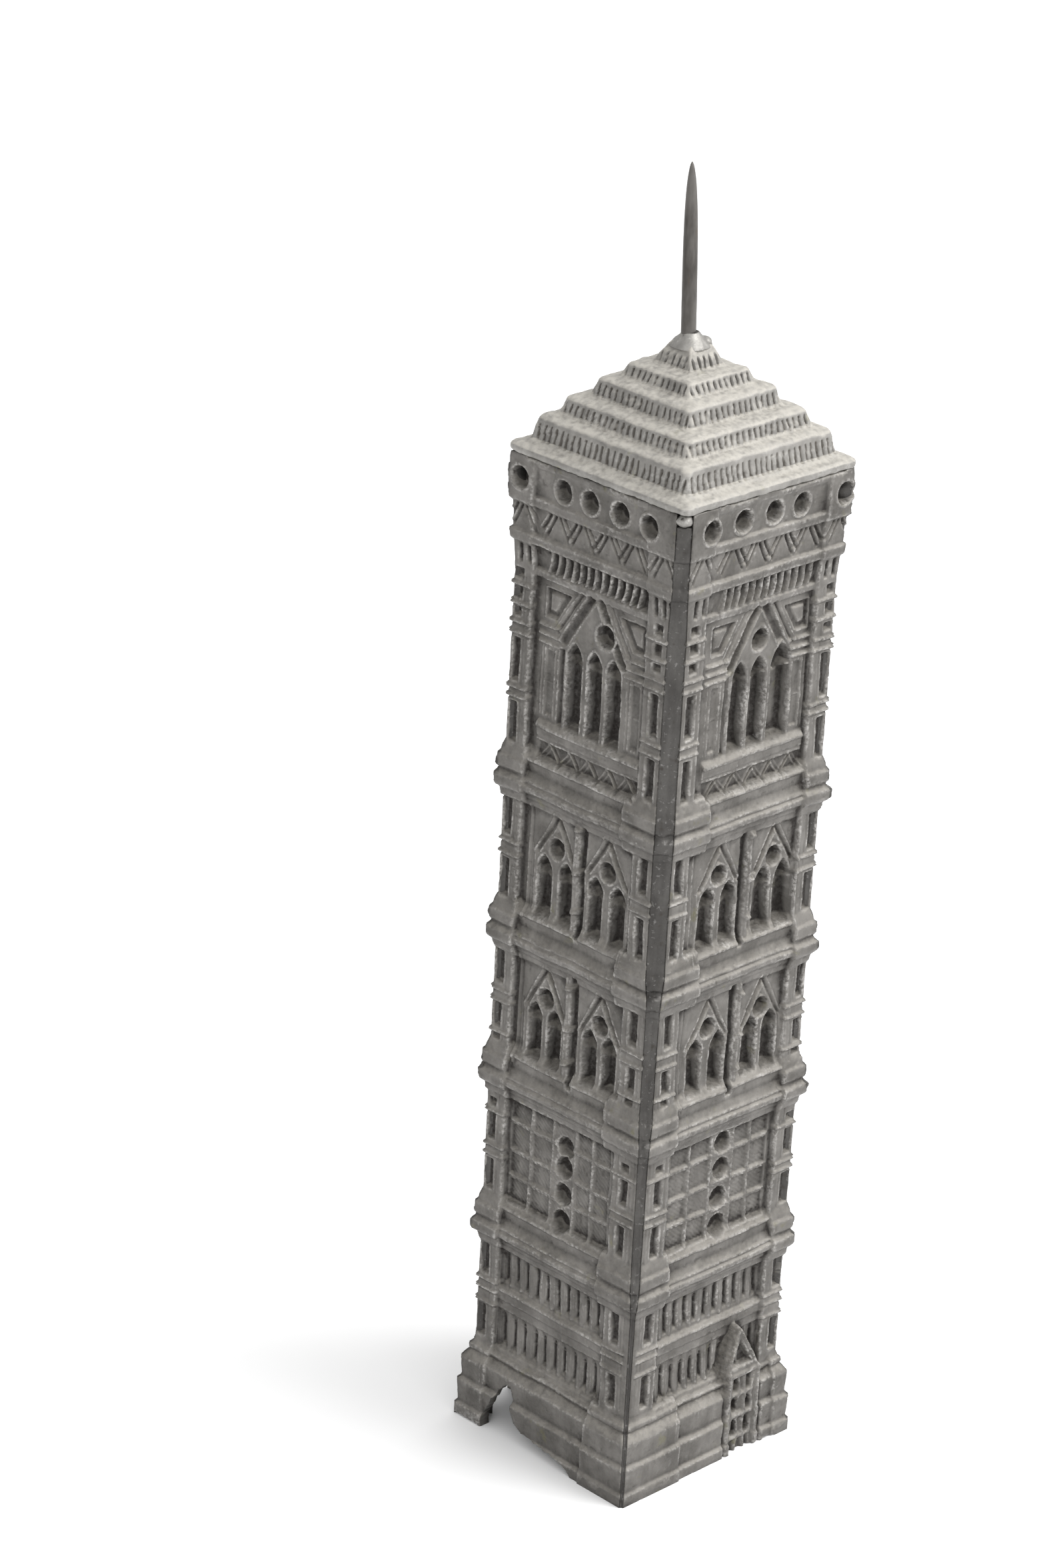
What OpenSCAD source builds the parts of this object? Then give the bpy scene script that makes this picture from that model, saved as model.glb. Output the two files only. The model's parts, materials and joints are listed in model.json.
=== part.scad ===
// Souvenir bell tower: four flat cast wall panels soldered at the corners,
// a cast stepped roof, and a steel pin for a mast. Millimetres, +Z up.
// The tower stands on z = 0, centred on the Z axis; the door is in the -Y wall.

/* [Overall] */
// Width of the square base over the plinth
base_w = 27; // [22.5:0.5:33]
// Height of the four walls, from the floor to the underside of the roof
tower_h = 115; // [92:1:140]
// Height of the roof casting above the walls
roof_h = 12.9; // [10.5:0.1:15.5]
// Height of the mast pin above the top of the roof casting
mast_h = 18.8; // [14:0.2:26]

/* [Wall castings] */
// Thickness of a wall panel between its flat back and the plain wall surface
wall_t = 2; // [1.65:0.05:2.6]
// How far the corner piers stand proud of the plain wall surface
pier_out = 0.7; // [0.5:0.05:0.9]
// Width of a corner pier, measured across its face
pier_w = 3.9; // [3.2:0.1:4.7]
// How far the cornices stand proud of the piers
cornice_out = 0.8; // [0.65:0.05:1]
// How far the thin frames, gables and colonnettes stand proud of the wall
frame_out = 0.3; // [0.2:0.05:0.4]

/* [Recesses] */
// Depth of the windows and niches below the plain wall surface
window_depth = 1.25; // [0.9:0.05:1.5]
// Depth of the arcade slots and coffers below the plain wall surface
slot_depth = 0.5; // [0.35:0.05:0.65]
// Depth of the long panels sunk in the piers
panel_depth = 0.5; // [0.35:0.05:0.65]
// Depth of the round holes in the gallery
hole_depth = 1.4; // [1:0.1:1.8]
// Width of one light of the twin windows
light_w = 2.1; // [1.7:0.1:2.5]
// Width of one light of the tall triple window
tall_light_w = 2.4; // [2:0.1:2.7]
// Diameter of the round window under each small gable
oculus_d = 2.2; // [1.8:0.1:2.6]
// Diameter of the stacked niches in the second storey
niche_d = 2.4; // [2:0.1:2.8]
// Diameter of the gallery holes
hole_d = 2.5; // [2:0.1:3]
// Number of narrow bays in each arcade of the first storey
arcade_bays = 10; // [8:1:13]

/* [Door] */
// Distance of the door from the middle of the front wall
door_x = 4.8; // [3.6:0.2:5.2]
// Width of the door leaf
door_w = 4.2; // [3.6:0.2:4.8]

/* [Joints] */
// Width of the solder strip on the front left corner above the first cornice
seam_w = 1.9; // [1.5:0.1:2.4]
// Width of the same strip on the plinth and first storey
foot_seam_w = 0.8; // [0.6:0.1:1.3]
// Width of the solder strips on the other three corners
fine_seam_w = 0.6; // [0.5:0.1:1]
// Diameter of the mast pin
mast_d = 1.6; // [1.3:0.05:2]
// Depth of the mast pin's hole in the roof casting
mast_hole = 4; // [3:0.2:5]

/* [Roof] */
// Number of stepped tiers under the cap
roof_tiers = 4; // [3:1:5]
// Number of ribs along each side of the roof
roof_ribs = 27; // [19:2:31]
// Height of the ribs above the slope
rib_out = 0.25; // [0.15:0.05:0.35]
// Depth of the hollow under the roof casting
roof_hollow = 7; // [5:0.5:7.5]

/* [Hidden] */
$fn = 48;

// The relief is drawn on a sheet of 28 by 115 units and scaled to the panel.
sheet_w = 28;
sheet_h = 115;
s = base_w / sheet_w;            // scale across
v = tower_h / sheet_h;           // scale upward
hb = base_w / 2;                 // half width over the plinth
lap = 0.25;                      // how far a raised layer is rooted in the one below
d_pier = hb - 1.45;              // pier face, measured out from the axis
d_wall = d_pier - pier_out;      // plain wall surface
d_back = d_wall - wall_t;        // flat back of the casting
d_corn = d_pier + cornice_out;   // outermost line of a cornice
d_gal = hb - 0.7;                // face of the gallery corner blocks
d_band = d_gal - 0.3;            // face of the gallery between the blocks
pier_u = (d_pier - pier_w) / s;  // inner edge of a pier on the sheet
cornices = [24.8, 43.4, 60.6, 78.5];
foot_top = cornices[0];          // the narrow part of the wide seam ends at this cornice
c_root = d_back + 0.45 * wall_t; // where the corner groove starts, out along x and y
tack_h = 1.4;                    // height of the solder tacks under the roof

// ---- small helpers -------------------------------------------------------------
// rectangle on the sheet, between two places across (u) and two heights
module box2(u0, u1, z0, z1)
  translate([u0 * s, z0 * v]) square([(u1 - u0) * s, (z1 - z0) * v]);

// the same rectangle on both sides of the middle
module pair2(u0, u1, z0, z1) {
  box2(u0, u1, z0, z1);
  box2(-u1, -u0, z0, z1);
}

// polygon on the sheet
module poly2(pts) polygon([for (p = pts) [p[0] * s, p[1] * v]]);

module disc(u, z, d) translate([u * s, z * v]) circle(d = d);

// pointed opening: middle, sill and springing line on the sheet, and its width
module lancet(u, z0, z1, w) translate([u * s, 0]) {
  translate([-w / 2, z0 * v]) square([w, (z1 - z0) * v]);
  translate([0, z1 * v]) intersection() {
    translate([-w / 2, 0]) circle(r = w);
    translate([w / 2, 0]) circle(r = w);
    translate([-w / 2, -0.01]) square([w, w]);
  }
}

// a drawing on the sheet made solid between two distances from the axis
module layer(d0, d1)
  translate([0, -d0, 0]) rotate([90, 0, 0]) linear_extrude(height = d1 - d0) children();

// a moulding: profile points are [distance from the axis, height on the sheet]
module run(u0, u1, pts)
  translate([u0 * s, 0, 0]) rotate([90, 0, 90]) linear_extrude(height = (u1 - u0) * s)
    polygon([for (p = pts) [-p[0], p[1] * v]]);

// the same moulding broken forward over both piers
module pier_run(u0, pts) {
  run(u0, sheet_w / 2 + 1, pts);
  run(-sheet_w / 2 - 1, -u0, pts);
}

// steep gable drawn as two bars that meet at the apex
module gable(u, z0, z1, half, bar) difference() {
  poly2([[u - half, z0], [u + half, z0], [u, z1]]);
  poly2([[u - half + bar, z0 - 0.01], [u + half - bar, z0 - 0.01],
         [u, z1 - bar * (z1 - z0) / half]]);
}

// ---- the relief, layer by layer ----------------------------------------------------
twin_u = 4.1;                    // middle of each twin window
light_u = 1.45;                  // from there to the middle of each light
tall_u = 3;                      // spacing of the tall lights
niche_rise = 3.2;                // height of one row of coffers
// twin windows of the third and fourth storeys: sill, springing, round window, eaves, apex
twins = [[47.8, 52.2, 55.2, 53.6, 58.7], [64.8, 69.7, 73.2, 71.7, 76.5]];
niches = [for (i = [0:3]) 29 + niche_rise * i];

module deep_shapes() {
  for (t = twins) for (w = [-twin_u, twin_u]) {
    for (m = [-light_u, light_u]) lancet(w + m, t[0], t[1], light_w);
    disc(w, t[2], oculus_d);
  }
  for (m = [-tall_u, 0, tall_u]) lancet(m, 86.4, 93.7, tall_light_w);
  disc(0, 98.6, niche_d);
  for (z = niches) disc(0, z + 1.25, niche_d);
}

module slot_shapes() {
  arcade = 7.8;                  // half width of the arcades
  pitch = 2 * arcade / arcade_bays;
  for (i = [0 : arcade_bays - 1]) for (z = [10.7, 18.3])
    box2(-arcade + (i + 0.22) * pitch, -arcade + (i + 0.78) * pitch, z, z + 4.1);
  for (z = niches) for (m = [3.4, 6.45]) pair2(m - 1.2, m + 1.2, z, z + 2.6);
  for (t = twins) for (w = [-twin_u, twin_u]) for (m = [-1, 1])
    poly2([[w + m * 3.3, t[3] + 0.9], [w + m * 2.85, t[3] + 0.9],
           [w + m * 0.3, t[4]], [w + m * 0.8, t[4]]]);
  for (m = [-1, 1]) {
    poly2([[m * 5.2, 96.8], [m * 4.4, 96.8], [m * 0.7, 101.9], [m * 1.6, 101.9]]);
    poly2([[m * 7, 98.1], [m * 5.6, 98.1], [m * 3.6, 101.1], [m * 7, 101.1]]);
  }
  pair2(5.2, 7.1, 87.1, 94.4);
  for (i = [-3:3]) poly2([[i * 2 - 0.8, 84.1], [i * 2 + 0.8, 84.1], [i * 2, 82.5]]);
}

module frame_shapes() {
  for (t = twins) {
    box2(-0.55, 0.55, t[0] - 1.6, t[4] + 0.8);
    for (w = [-twin_u, twin_u]) gable(w, t[3], t[4], 3.1, 0.5);
  }
  gable(0, 95.8, 102.2, 4.9, 0.75);
  pair2(4.7, 8, 95.4, 97.4);
  difference() {
    pair2(4.9, 7.5, 86.6, 94.9);
    pair2(5.3, 7.05, 87, 94.5);
  }
}

module pier_panels()
  for (z = [[11.2, 16.2], [18.6, 22.2], [29, 33.4], [35.2, 40.6],
            [47.4, 52], [54.3, 58.8], [64.8, 69.5], [72, 76.4],
            [83, 88], [90, 94.6], [97, 98.4], [99.2, 100.5], [101.4, 102.6]])
    pair2(9.6, 10.8, z[0], z[1]);

module pier_bands()
  for (z = [17.2, 16.4, 33.7, 34.6, 52.4, 53.5, 70, 71.2, 88.4, 89.3, 95.3, 96.2, 98.6, 100.8])
    pair2(pier_u + 0.2, 11.4, z, z + 0.45);

// recesses in the gallery: round holes, and the hatched chevrons below them
module gallery_holes() for (u = [-10, -4.6, 0, 4.6, 10]) disc(u, 112.7, hole_d);
module gallery_chevrons() for (u = [-10.4, -5.6, -1.9, 1.9, 5.6, 10.4]) for (m = [-1, 1])
  poly2([[u + m * 0.25, 109.7], [u + m * 0.75, 109.7], [u + m * 1.7, 107.5], [u + m * 1.2, 107.5]]);

// ---- mouldings -------------------------------------------------------------------
module cornice(z) {
  o = d_corn - 0.3;
  w = d_wall;
  p = d_pier;
  c = d_corn;
  run(-pier_u, pier_u, [[w - lap, z - 2.4], [w + (o - w) * 0.35, z - 1.9],
    [w + (o - w) * 0.35, z - 1], [o - 0.15, z - 0.6], [o, z - 0.3], [o, z + 0.2],
    [w + (o - w) * 0.5, z + 0.8], [w + (o - w) * 0.5, z + 2.6],
    [w + (o - w) * 0.65, z + 2.8], [w + (o - w) * 0.65, z + 3.3], [w - lap, z + 4.3]]);
  pier_run(pier_u, [[p - lap, z - 2.2], [p + 0.2, z - 1.5], [c - 0.1, z - 1.1], [c, z - 0.8],
    [c, z + 0.4], [c - 0.35, z + 0.8], [c - 0.35, z + 1.2], [c - 0.1, z + 1.5],
    [c - 0.1, z + 2.7], [p + 0.2, z + 3], [p - lap, z + 4.2]]);
}

// three courses of the plinth and the sloped moulding on top of them
module plinth() {
  w = d_wall;
  q = hb - 0.35;
  run(-pier_u - 0.4, pier_u + 0.4, [[w - lap, 0], [q, 0], [q, 1.85], [q - 0.15, 2],
    [q - 0.15, 5], [q - 0.3, 5.15], [q - 0.3, 7.4], [q - 0.55, 7.8], [w + 0.75, 8.4],
    [w + 0.75, 9.1], [w + 0.4, 9.5], [w + 0.4, 9.9], [w - lap, 10.6]]);
  pier_run(pier_u - 1.2, [[w - lap, 0], [hb, 0], [hb, 1.85], [hb - 0.12, 2],
    [hb - 0.12, 4.9], [hb - 0.3, 5.1], [hb - 0.3, 7.2], [hb - 0.6, 7.8],
    [d_pier + 0.45, 8.6], [d_pier + 0.45, 9.4], [d_pier, 10.2], [w - lap, 10.8]]);
}

// ledges between the storeys
module ledges() {
  w = d_wall;
  run(-pier_u + 0.3, pier_u - 0.3, [[w - lap, 15.2], [w + 0.35, 15.5], [w + 0.35, 16.9],
    [w + 0.15, 17.6], [w - lap, 18]]);
  run(-pier_u + 0.3, pier_u - 0.3, [[w - lap, 84.5], [w + 0.4, 84.8], [w + 0.4, 85.9],
    [w - lap, 86.4]]);
}

// the flared head of a wall: string course, corbels, chevron band and gallery
module gallery() {
  w = d_wall;
  f = d_band;
  g = d_gal;
  run(-pier_u, pier_u, [[w - lap, 101.9], [w + 0.35, 102.1], [w + 0.35, 102.9],
    [w + 0.1, 103.2], [w + 0.45, 105.4], [f - 0.25, 105.8], [f - 0.1, 106.8], [f - 0.45, 107.1],
    [f - 0.3, 109.8], [f, 110.1], [f, 111], [f - 0.15, 111.2], [f - 0.1, 113.9],
    [f + 0.2, 114.2], [f + 0.2, sheet_h], [w - lap, sheet_h]]);
  pier_run(pier_u, [[w - lap, 103], [d_pier, 103.2], [d_pier + 0.2, 105.4], [g - 0.3, 105.8],
    [g - 0.2, 106.8], [g - 0.5, 107.1], [g - 0.3, 109.8], [g, 110.1], [g, 114.2],
    [g - 0.1, sheet_h], [w - lap, sheet_h]]);
  for (i = [-6:6]) run(i * 1.16 - 0.22, i * 1.16 + 0.22,
    [[w, 103], [w + 0.45, 103.3], [f - 0.3, 105.9], [w, 105.9]]);
}

// ---- the door of the front wall ----------------------------------------------------
door_u = door_x / s;
door_half = door_w / 2 / s;
door_top = 9.9;
jamb = 0.55;

module door_surround() layer(d_wall - lap, hb) difference() {
  poly2([[door_u - door_half - jamb, 0], [door_u + door_half + jamb, 0],
         [door_u + door_half + jamb, door_top - 0.3], [door_u, 16.6],
         [door_u - door_half - jamb, door_top - 0.3]]);
  poly2([[door_u - 1.7, 10.7], [door_u + 1.7, 10.7], [door_u, 15]]);
}
module door_cut() {
  box2(door_u - door_half, door_u + door_half, -0.1, door_top);
  poly2([[door_u - door_half - jamb, door_top], [door_u - door_half - jamb - 0.8, door_top],
         [door_u - 0.6, 16.4], [door_u, 16.6]]);
}
// the leaf is cast in the panel: two stacks of round bosses between three thin posts
module door_relief() layer(d_wall - lap - 0.2, d_wall + 0.2) {
  post = 0.4;
  for (m = [-1, 0, 1])
    box2(door_u + m * (door_half - post / 2) - post / 2,
         door_u + m * (door_half - post / 2) + post / 2, 0, door_top + 0.1);
  for (m = [-0.5, 0.5]) for (i = [0:3]) disc(door_u + m * door_half, 1.4 + i * 2.4, door_w * 0.42);
}

// ---- one wall panel ----------------------------------------------------------------
// plan of a panel: mitred at the corners, with the grooves that the solder fills
module panel_plan(left_w, right_w) {
  far = hb + 3;
  a = d_pier - left_w / sqrt(2);
  b = d_pier - right_w / sqrt(2);
  g = far - d_pier;
  polygon([[0, 0], [c_root, -c_root], [b, -d_pier], [b + g, -far],
           [-a - g, -far], [-a, -d_pier], [-c_root, -c_root]]);
}

// holes broken through the foot of the left wall and of the wall behind it
module foot_notch() poly2([[-8.6, -1], [-8.1, 3.4], [-7, 5], [-6.3, 6.8], [-5, 7.5], [-4, 7.1],
  [-3.4, 5.2], [-3.6, 3.6], [-2.8, 2.2], [-1, 1.8], [2, 1.7], [5.4, 1.4], [6.6, 0.5], [7.6, -1]]);
module foot_gap() poly2([[3.2, -1], [3.8, 2.6], [3.6, 5.4], [5, 6.6], [7, 6.4], [8, 4.6],
  [8.6, 2], [9, -1]]);

// face: "door", "notch", "gap" or "plain". The wide seam is at the left of the door wall
// and at the right of the wall with the notch.
module wall_panel(face) intersection() {
  union() {
    linear_extrude(height = foot_top * v)
      panel_plan(face == "door" ? foot_seam_w : fine_seam_w,
                 face == "notch" ? foot_seam_w : fine_seam_w);
    translate([0, 0, foot_top * v]) linear_extrude(height = tower_h - foot_top * v)
      panel_plan(face == "door" ? seam_w : fine_seam_w,
                 face == "notch" ? seam_w : fine_seam_w);
  }
  union() {
    difference() {
      union() {
        layer(d_back, d_wall) box2(-15, 15, 0, sheet_h);
        layer(d_wall - lap, d_pier) pair2(pier_u, 15, 0, sheet_h - 1);
        layer(d_wall - lap, d_wall + frame_out) frame_shapes();
        layer(d_pier - lap, d_pier + 0.18) pier_bands();
        for (z = cornices) cornice(z);
        plinth();
        ledges();
        gallery();
        if (face == "door") door_surround();
      }
      layer(d_wall - window_depth, hb + 1) deep_shapes();
      layer(d_wall - slot_depth, hb + 1) slot_shapes();
      layer(d_pier - panel_depth, hb + 1) pier_panels();
      layer(d_gal - hole_depth, hb + 1) gallery_holes();
      layer(d_band - 0.85, hb + 1) gallery_chevrons();
      if (face == "door") layer(d_wall - 0.3, hb + 1) door_cut();
      if (face == "notch") layer(0, hb + 1) foot_notch();
      if (face == "gap") layer(0, hb + 1) foot_gap();
    }
    if (face == "door") door_relief();
  }
}

// ---- the pieces --------------------------------------------------------------------
module front_wall() color("dimgray") wall_panel("door");
module left_wall() color("dimgray") rotate([0, 0, -90]) wall_panel("notch");
module back_wall() color("dimgray") rotate([0, 0, 180]) wall_panel("gap");
module right_wall() color("dimgray") rotate([0, 0, 90]) wall_panel("plain");

// a length of corner strip at the corner +x, -y: the groove filled to a flat face
// that lies level with mouldings standing out as far as reach
module strip(strip_w, reach, z0, z1) {
  e = d_pier - strip_w / sqrt(2);
  g = reach - d_pier;
  translate([0, 0, z0]) linear_extrude(height = z1 - z0)
    polygon([[c_root, -c_root], [e, -d_pier], [e + g, -reach], [reach, -e - g],
             [d_pier, -e]]);
}
module corner_seam(low_w, high_w) {
  strip(low_w, d_pier, 0, foot_top * v);
  strip(low_w, hb, 0, 7.2 * v);
  strip(low_w, d_pier + 0.4, 7 * v, 9.4 * v);
  strip(low_w, d_corn, (foot_top - 1) * v, foot_top * v);
  strip(high_w, d_pier, foot_top * v, tower_h - tack_h);
  strip(high_w, d_corn - 0.2, foot_top * v, (foot_top + 2.1) * v);
  for (i = [1 : len(cornices) - 1]) {
    strip(high_w, d_corn, (cornices[i] - 1) * v, (cornices[i] + 0.3) * v);
    strip(high_w, d_corn - 0.2, (cornices[i] - 1.3) * v, (cornices[i] + 2.1) * v);
  }
  strip(high_w, d_gal - 0.4, 105.8 * v, tower_h - tack_h);
}
module fine_seam() corner_seam(fine_seam_w, fine_seam_w);
module front_right_seam() color("gray") fine_seam();
module front_left_seam() color("gray") rotate([0, 0, -90]) corner_seam(foot_seam_w, seam_w);
module back_left_seam() color("gray") rotate([0, 0, 180]) fine_seam();
module back_right_seam() color("gray") rotate([0, 0, 90]) fine_seam();

// solder tacks at the top corners, between the walls and the roof
module eave_solder() color("gray") for (a = [0:90:270])
  rotate([0, 0, a]) strip(a == 270 ? seam_w : fine_seam_w, d_gal - 0.1, tower_h - tack_h, tower_h);

// the roof is a square stepped pyramid: two crossed profiles, each [half width, height]
eave_rise = 1.55;                // height of the eave ledge at the foot of the first tier
cap_rise = 2.4;                  // height of the cap above the last tier
cap_half = 2.6;                  // half width of the cap at its foot
tier_half = hb - 2.1;            // half width of the first tier at its foot
tier_step = (tier_half - cap_half) / roof_tiers;
tier_unit = (roof_h - eave_rise - cap_rise) / (roof_tiers + 0.4);
// the first tier is taller than the rest
function tier_foot(i) = eave_rise + (i == 0 ? 0 : (i + 0.4) * tier_unit);
function roof_profile(grow) = concat(
  [[hb - 0.8, 0], [hb - 0.55, 0.25], [hb - 0.55, 0.6], [hb - 0.8, 0.9], [hb - 1.4, 1.1]],
  [for (i = [0 : roof_tiers - 1]) let (rise = tier_foot(i + 1) - tier_foot(i)) each [
    [tier_half - i * tier_step + grow, tier_foot(i)],
    [tier_half - i * tier_step - 0.6 + grow, tier_foot(i) + 0.72 * rise],
    [tier_half - i * tier_step - 0.85 + grow, tier_foot(i) + 0.8 * rise]]],
  [[cap_half + grow, roof_h - cap_rise], [mast_d / 2 + 0.3 + grow, roof_h]]);
module crossed(pts) intersection_for (turn = [0, 90])
  rotate([90, 0, turn]) linear_extrude(height = 3 * hb, center = true)
    polygon(concat(pts, [for (i = [len(pts) - 1 : -1 : 0]) [-pts[i][0], pts[i][1]]]));
module rib_slabs() {
  span = 2 * (tier_half - 0.3);
  pitch = span / roof_ribs;
  intersection() {
    for (i = [0 : roof_ribs - 1]) translate([-span / 2 + (i + 0.28) * pitch, -hb, 1])
      cube([pitch * 0.44, 2 * hb, roof_h - 1.7]);
    linear_extrude(height = roof_h) for (m = [-1, 1]) polygon([[0, 0], [hb, m * hb], [-hb, m * hb]]);
  }
}
module roof_cap() color("dimgray") translate([0, 0, tower_h]) difference() {
  union() {
    crossed(roof_profile(0));
    intersection() {
      crossed(roof_profile(rib_out));
      for (turn = [0, 90]) rotate([0, 0, turn]) rib_slabs();
    }
  }
  crossed([[d_back, -0.1], [d_back, 0.2], [1.6, roof_hollow]]);
  translate([0, 0, roof_h - mast_hole]) cylinder(d = mast_d, h = mast_hole + 1);
}

// mast: a straight pin let into the roof, tapered to a point over its upper part
mast_top = tower_h + roof_h + mast_h;
module mast() color("silver") rotate_extrude() polygon([[0, tower_h + roof_h - mast_hole],
  [mast_d / 2, tower_h + roof_h - mast_hole], [mast_d / 2, mast_top - mast_h * 0.45],
  [mast_d * 0.42, mast_top - mast_h * 0.25], [0.12, mast_top - 0.2], [0, mast_top]]);

// solder cone round the foot of the mast, with a lump on one side
module mast_solder() color("gray") translate([0, 0, tower_h + roof_h]) difference() {
  union() {
    cone = 1.1;                  // height of the cone
    rotate_extrude() polygon([[0, 0], [mast_d / 2 + 0.7, 0], [mast_d / 2 + 0.55, cone * 0.35],
      [mast_d / 2 + 0.15, cone], [0, cone]]);
    translate([mast_d / 2 + 0.45, 0.3, 0.4]) sphere(d = 1.5);
  }
  translate([0, 0, -1.5]) cylinder(d = mast_d, h = 4);
  translate([-3, -3, -2]) cube([6, 6, 2]);
}

front_wall();
left_wall();
back_wall();
right_wall();
roof_cap();
mast();
front_left_seam();
front_right_seam();
back_left_seam();
back_right_seam();
eave_solder();
mast_solder();
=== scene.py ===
# %% [markdown]
# # A souvenir bell tower in cast pewter
# The real thing is twelve pieces: four cast wall panels, a cast stepped roof, a steel pin for
# a mast, four strips of solder on the corners, four tacks of solder under the eaves and a
# collar of solder round the mast. Every piece here stands in the place of one CAD node.
# Shapes are worked out in millimetres, because the relief is only tenths of a millimetre deep,
# and become metres when a mesh is made.

# %% Frame
import bpy
import bmesh
import json
import math
import numpy as np
from mathutils import Matrix, Vector

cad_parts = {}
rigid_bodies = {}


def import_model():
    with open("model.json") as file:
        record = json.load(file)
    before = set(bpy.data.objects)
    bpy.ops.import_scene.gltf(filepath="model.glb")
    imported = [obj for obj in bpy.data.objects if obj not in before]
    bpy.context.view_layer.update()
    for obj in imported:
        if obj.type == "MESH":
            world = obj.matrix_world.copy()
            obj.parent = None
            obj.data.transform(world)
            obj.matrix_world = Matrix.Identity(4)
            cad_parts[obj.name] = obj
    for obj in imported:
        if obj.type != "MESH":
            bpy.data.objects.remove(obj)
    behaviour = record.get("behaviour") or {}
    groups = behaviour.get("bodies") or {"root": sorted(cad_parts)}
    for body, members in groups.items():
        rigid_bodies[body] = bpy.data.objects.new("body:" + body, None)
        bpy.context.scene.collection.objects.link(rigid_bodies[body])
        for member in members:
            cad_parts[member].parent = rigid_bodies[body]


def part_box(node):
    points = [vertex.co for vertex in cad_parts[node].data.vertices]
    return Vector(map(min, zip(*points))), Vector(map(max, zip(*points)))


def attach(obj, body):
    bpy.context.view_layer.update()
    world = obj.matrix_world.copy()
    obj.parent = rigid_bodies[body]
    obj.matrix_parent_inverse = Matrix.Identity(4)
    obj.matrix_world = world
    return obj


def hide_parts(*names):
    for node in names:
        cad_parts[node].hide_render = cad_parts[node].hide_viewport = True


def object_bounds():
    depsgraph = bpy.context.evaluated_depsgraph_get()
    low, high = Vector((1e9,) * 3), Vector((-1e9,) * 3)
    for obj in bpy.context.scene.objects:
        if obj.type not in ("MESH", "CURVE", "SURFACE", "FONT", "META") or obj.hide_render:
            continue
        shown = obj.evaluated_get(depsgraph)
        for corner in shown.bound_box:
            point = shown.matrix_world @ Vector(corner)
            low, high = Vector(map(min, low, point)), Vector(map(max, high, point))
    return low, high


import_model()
cad_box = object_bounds()
MM = 0.001
wall_low, wall_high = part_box("front_wall")
HALF = round(-wall_low[1] / MM, 2)
TALL = round(wall_high[2] / MM, 2)
TOP = round(cad_box[1][2] / MM, 2)
print("half width", HALF, "walls", TALL, "whole height", TOP)

# %% [markdown]
# ## Helpers for meshes
# A mesh made from lists of points and faces is the plainest way to build an exact shape. The
# helper below takes millimetres, makes the object at the origin and sets smooth shading only
# where it is asked for, so that a relief can be smooth while the sawn sides stay flat.

# %% Mesh helpers
def make_object(name, points, faces, smooth=True):
    mesh = bpy.data.meshes.new(name)
    mesh.from_pydata([tuple(p) for p in np.asarray(points) * MM], [], faces)
    mesh.update()
    flags = np.broadcast_to(np.asarray(smooth, bool), len(mesh.polygons))
    mesh.polygons.foreach_set("use_smooth", flags.copy())
    obj = bpy.data.objects.new(name, mesh)
    bpy.context.scene.collection.objects.link(obj)
    return obj


def paint(obj, name, values):
    """A number for every point, which a material can read by its name."""
    layer = obj.data.attributes.new(name, "FLOAT", "POINT")
    layer.data.foreach_set("value", np.asarray(values, np.float32))


def coordinates(obj):
    flat = np.empty(len(obj.data.vertices) * 3)
    obj.data.vertices.foreach_get("co", flat)
    return flat.reshape(-1, 3) / MM


def place(obj, points):
    obj.data.vertices.foreach_set("co", (np.asarray(points) * MM).ravel())
    obj.data.update()


def apply_modifiers(obj):
    """Turns what the modifiers make into a plain mesh."""
    made = bpy.data.meshes.new_from_object(obj.evaluated_get(bpy.context.evaluated_depsgraph_get()))
    old = obj.data
    obj.data = made
    obj.modifiers.clear()
    bpy.data.meshes.remove(old)


def triangles(obj):
    return sum(len(p.vertices) - 2 for p in obj.data.polygons)


def ramp(x):
    """0 to 1 with soft ends."""
    x = np.clip(x, 0, 1)
    return x * x * (3 - 2 * x)


def noise(x, y, size, seed):
    """Smooth noise from -1 to 1 whose lumps are about size across."""
    rng = np.random.default_rng(seed)
    lattice = rng.uniform(-1, 1, (97, 89))
    gx = x / size + 1000
    gy = y / size + 1000
    ix = np.floor(gx).astype(int)
    iy = np.floor(gy).astype(int)
    fx = ramp(gx - ix)
    fy = ramp(gy - iy)
    a = lattice[ix % 97, iy % 89]
    b = lattice[(ix + 1) % 97, iy % 89]
    c = lattice[ix % 97, (iy + 1) % 89]
    d = lattice[(ix + 1) % 97, (iy + 1) % 89]
    return (a * (1 - fx) + b * fx) * (1 - fy) + (c * (1 - fx) + d * fx) * fy


def rough(x, y, size, seed, octaves=3):
    """Noise on noise: each finer layer is half as strong."""
    return sum(noise(x, y, size / 2**k, seed + 7 * k) / 2**k for k in range(octaves))


def blur(grid, radius):
    """Softens a grid of heights over radius cells."""
    reach = int(math.ceil(2.5 * radius))
    steps = np.arange(-reach, reach + 1)
    weight = np.exp(-0.5 * (steps / radius) ** 2)
    weight /= weight.sum()
    for axis in (0, 1):
        pad = [(reach, reach) if k == axis else (0, 0) for k in (0, 1)]
        wide = np.pad(grid, pad, mode="edge")
        n = grid.shape[axis]
        grid = sum(w * np.take(wide, range(k, k + n), axis) for k, w in enumerate(weight))
    return grid


print("one millimetre is", MM, "of a scene unit")

# %% [markdown]
# ## Drawing on a sheet of heights
# A cast relief has no undercuts, so each wall face can be written as one height for every
# place on a grid, as a die sinker thinks of it. Shapes are drawn as distances to an outline:
# negative inside, positive outside. A distance turns into a soft edge by itself, and that
# softness is what makes the result look poured and not cut.

# %% Outlines
def slab(x, y, x0, x1, y0, y1):
    return np.maximum(np.maximum(x0 - x, x - x1), np.maximum(y0 - y, y - y1))


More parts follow.
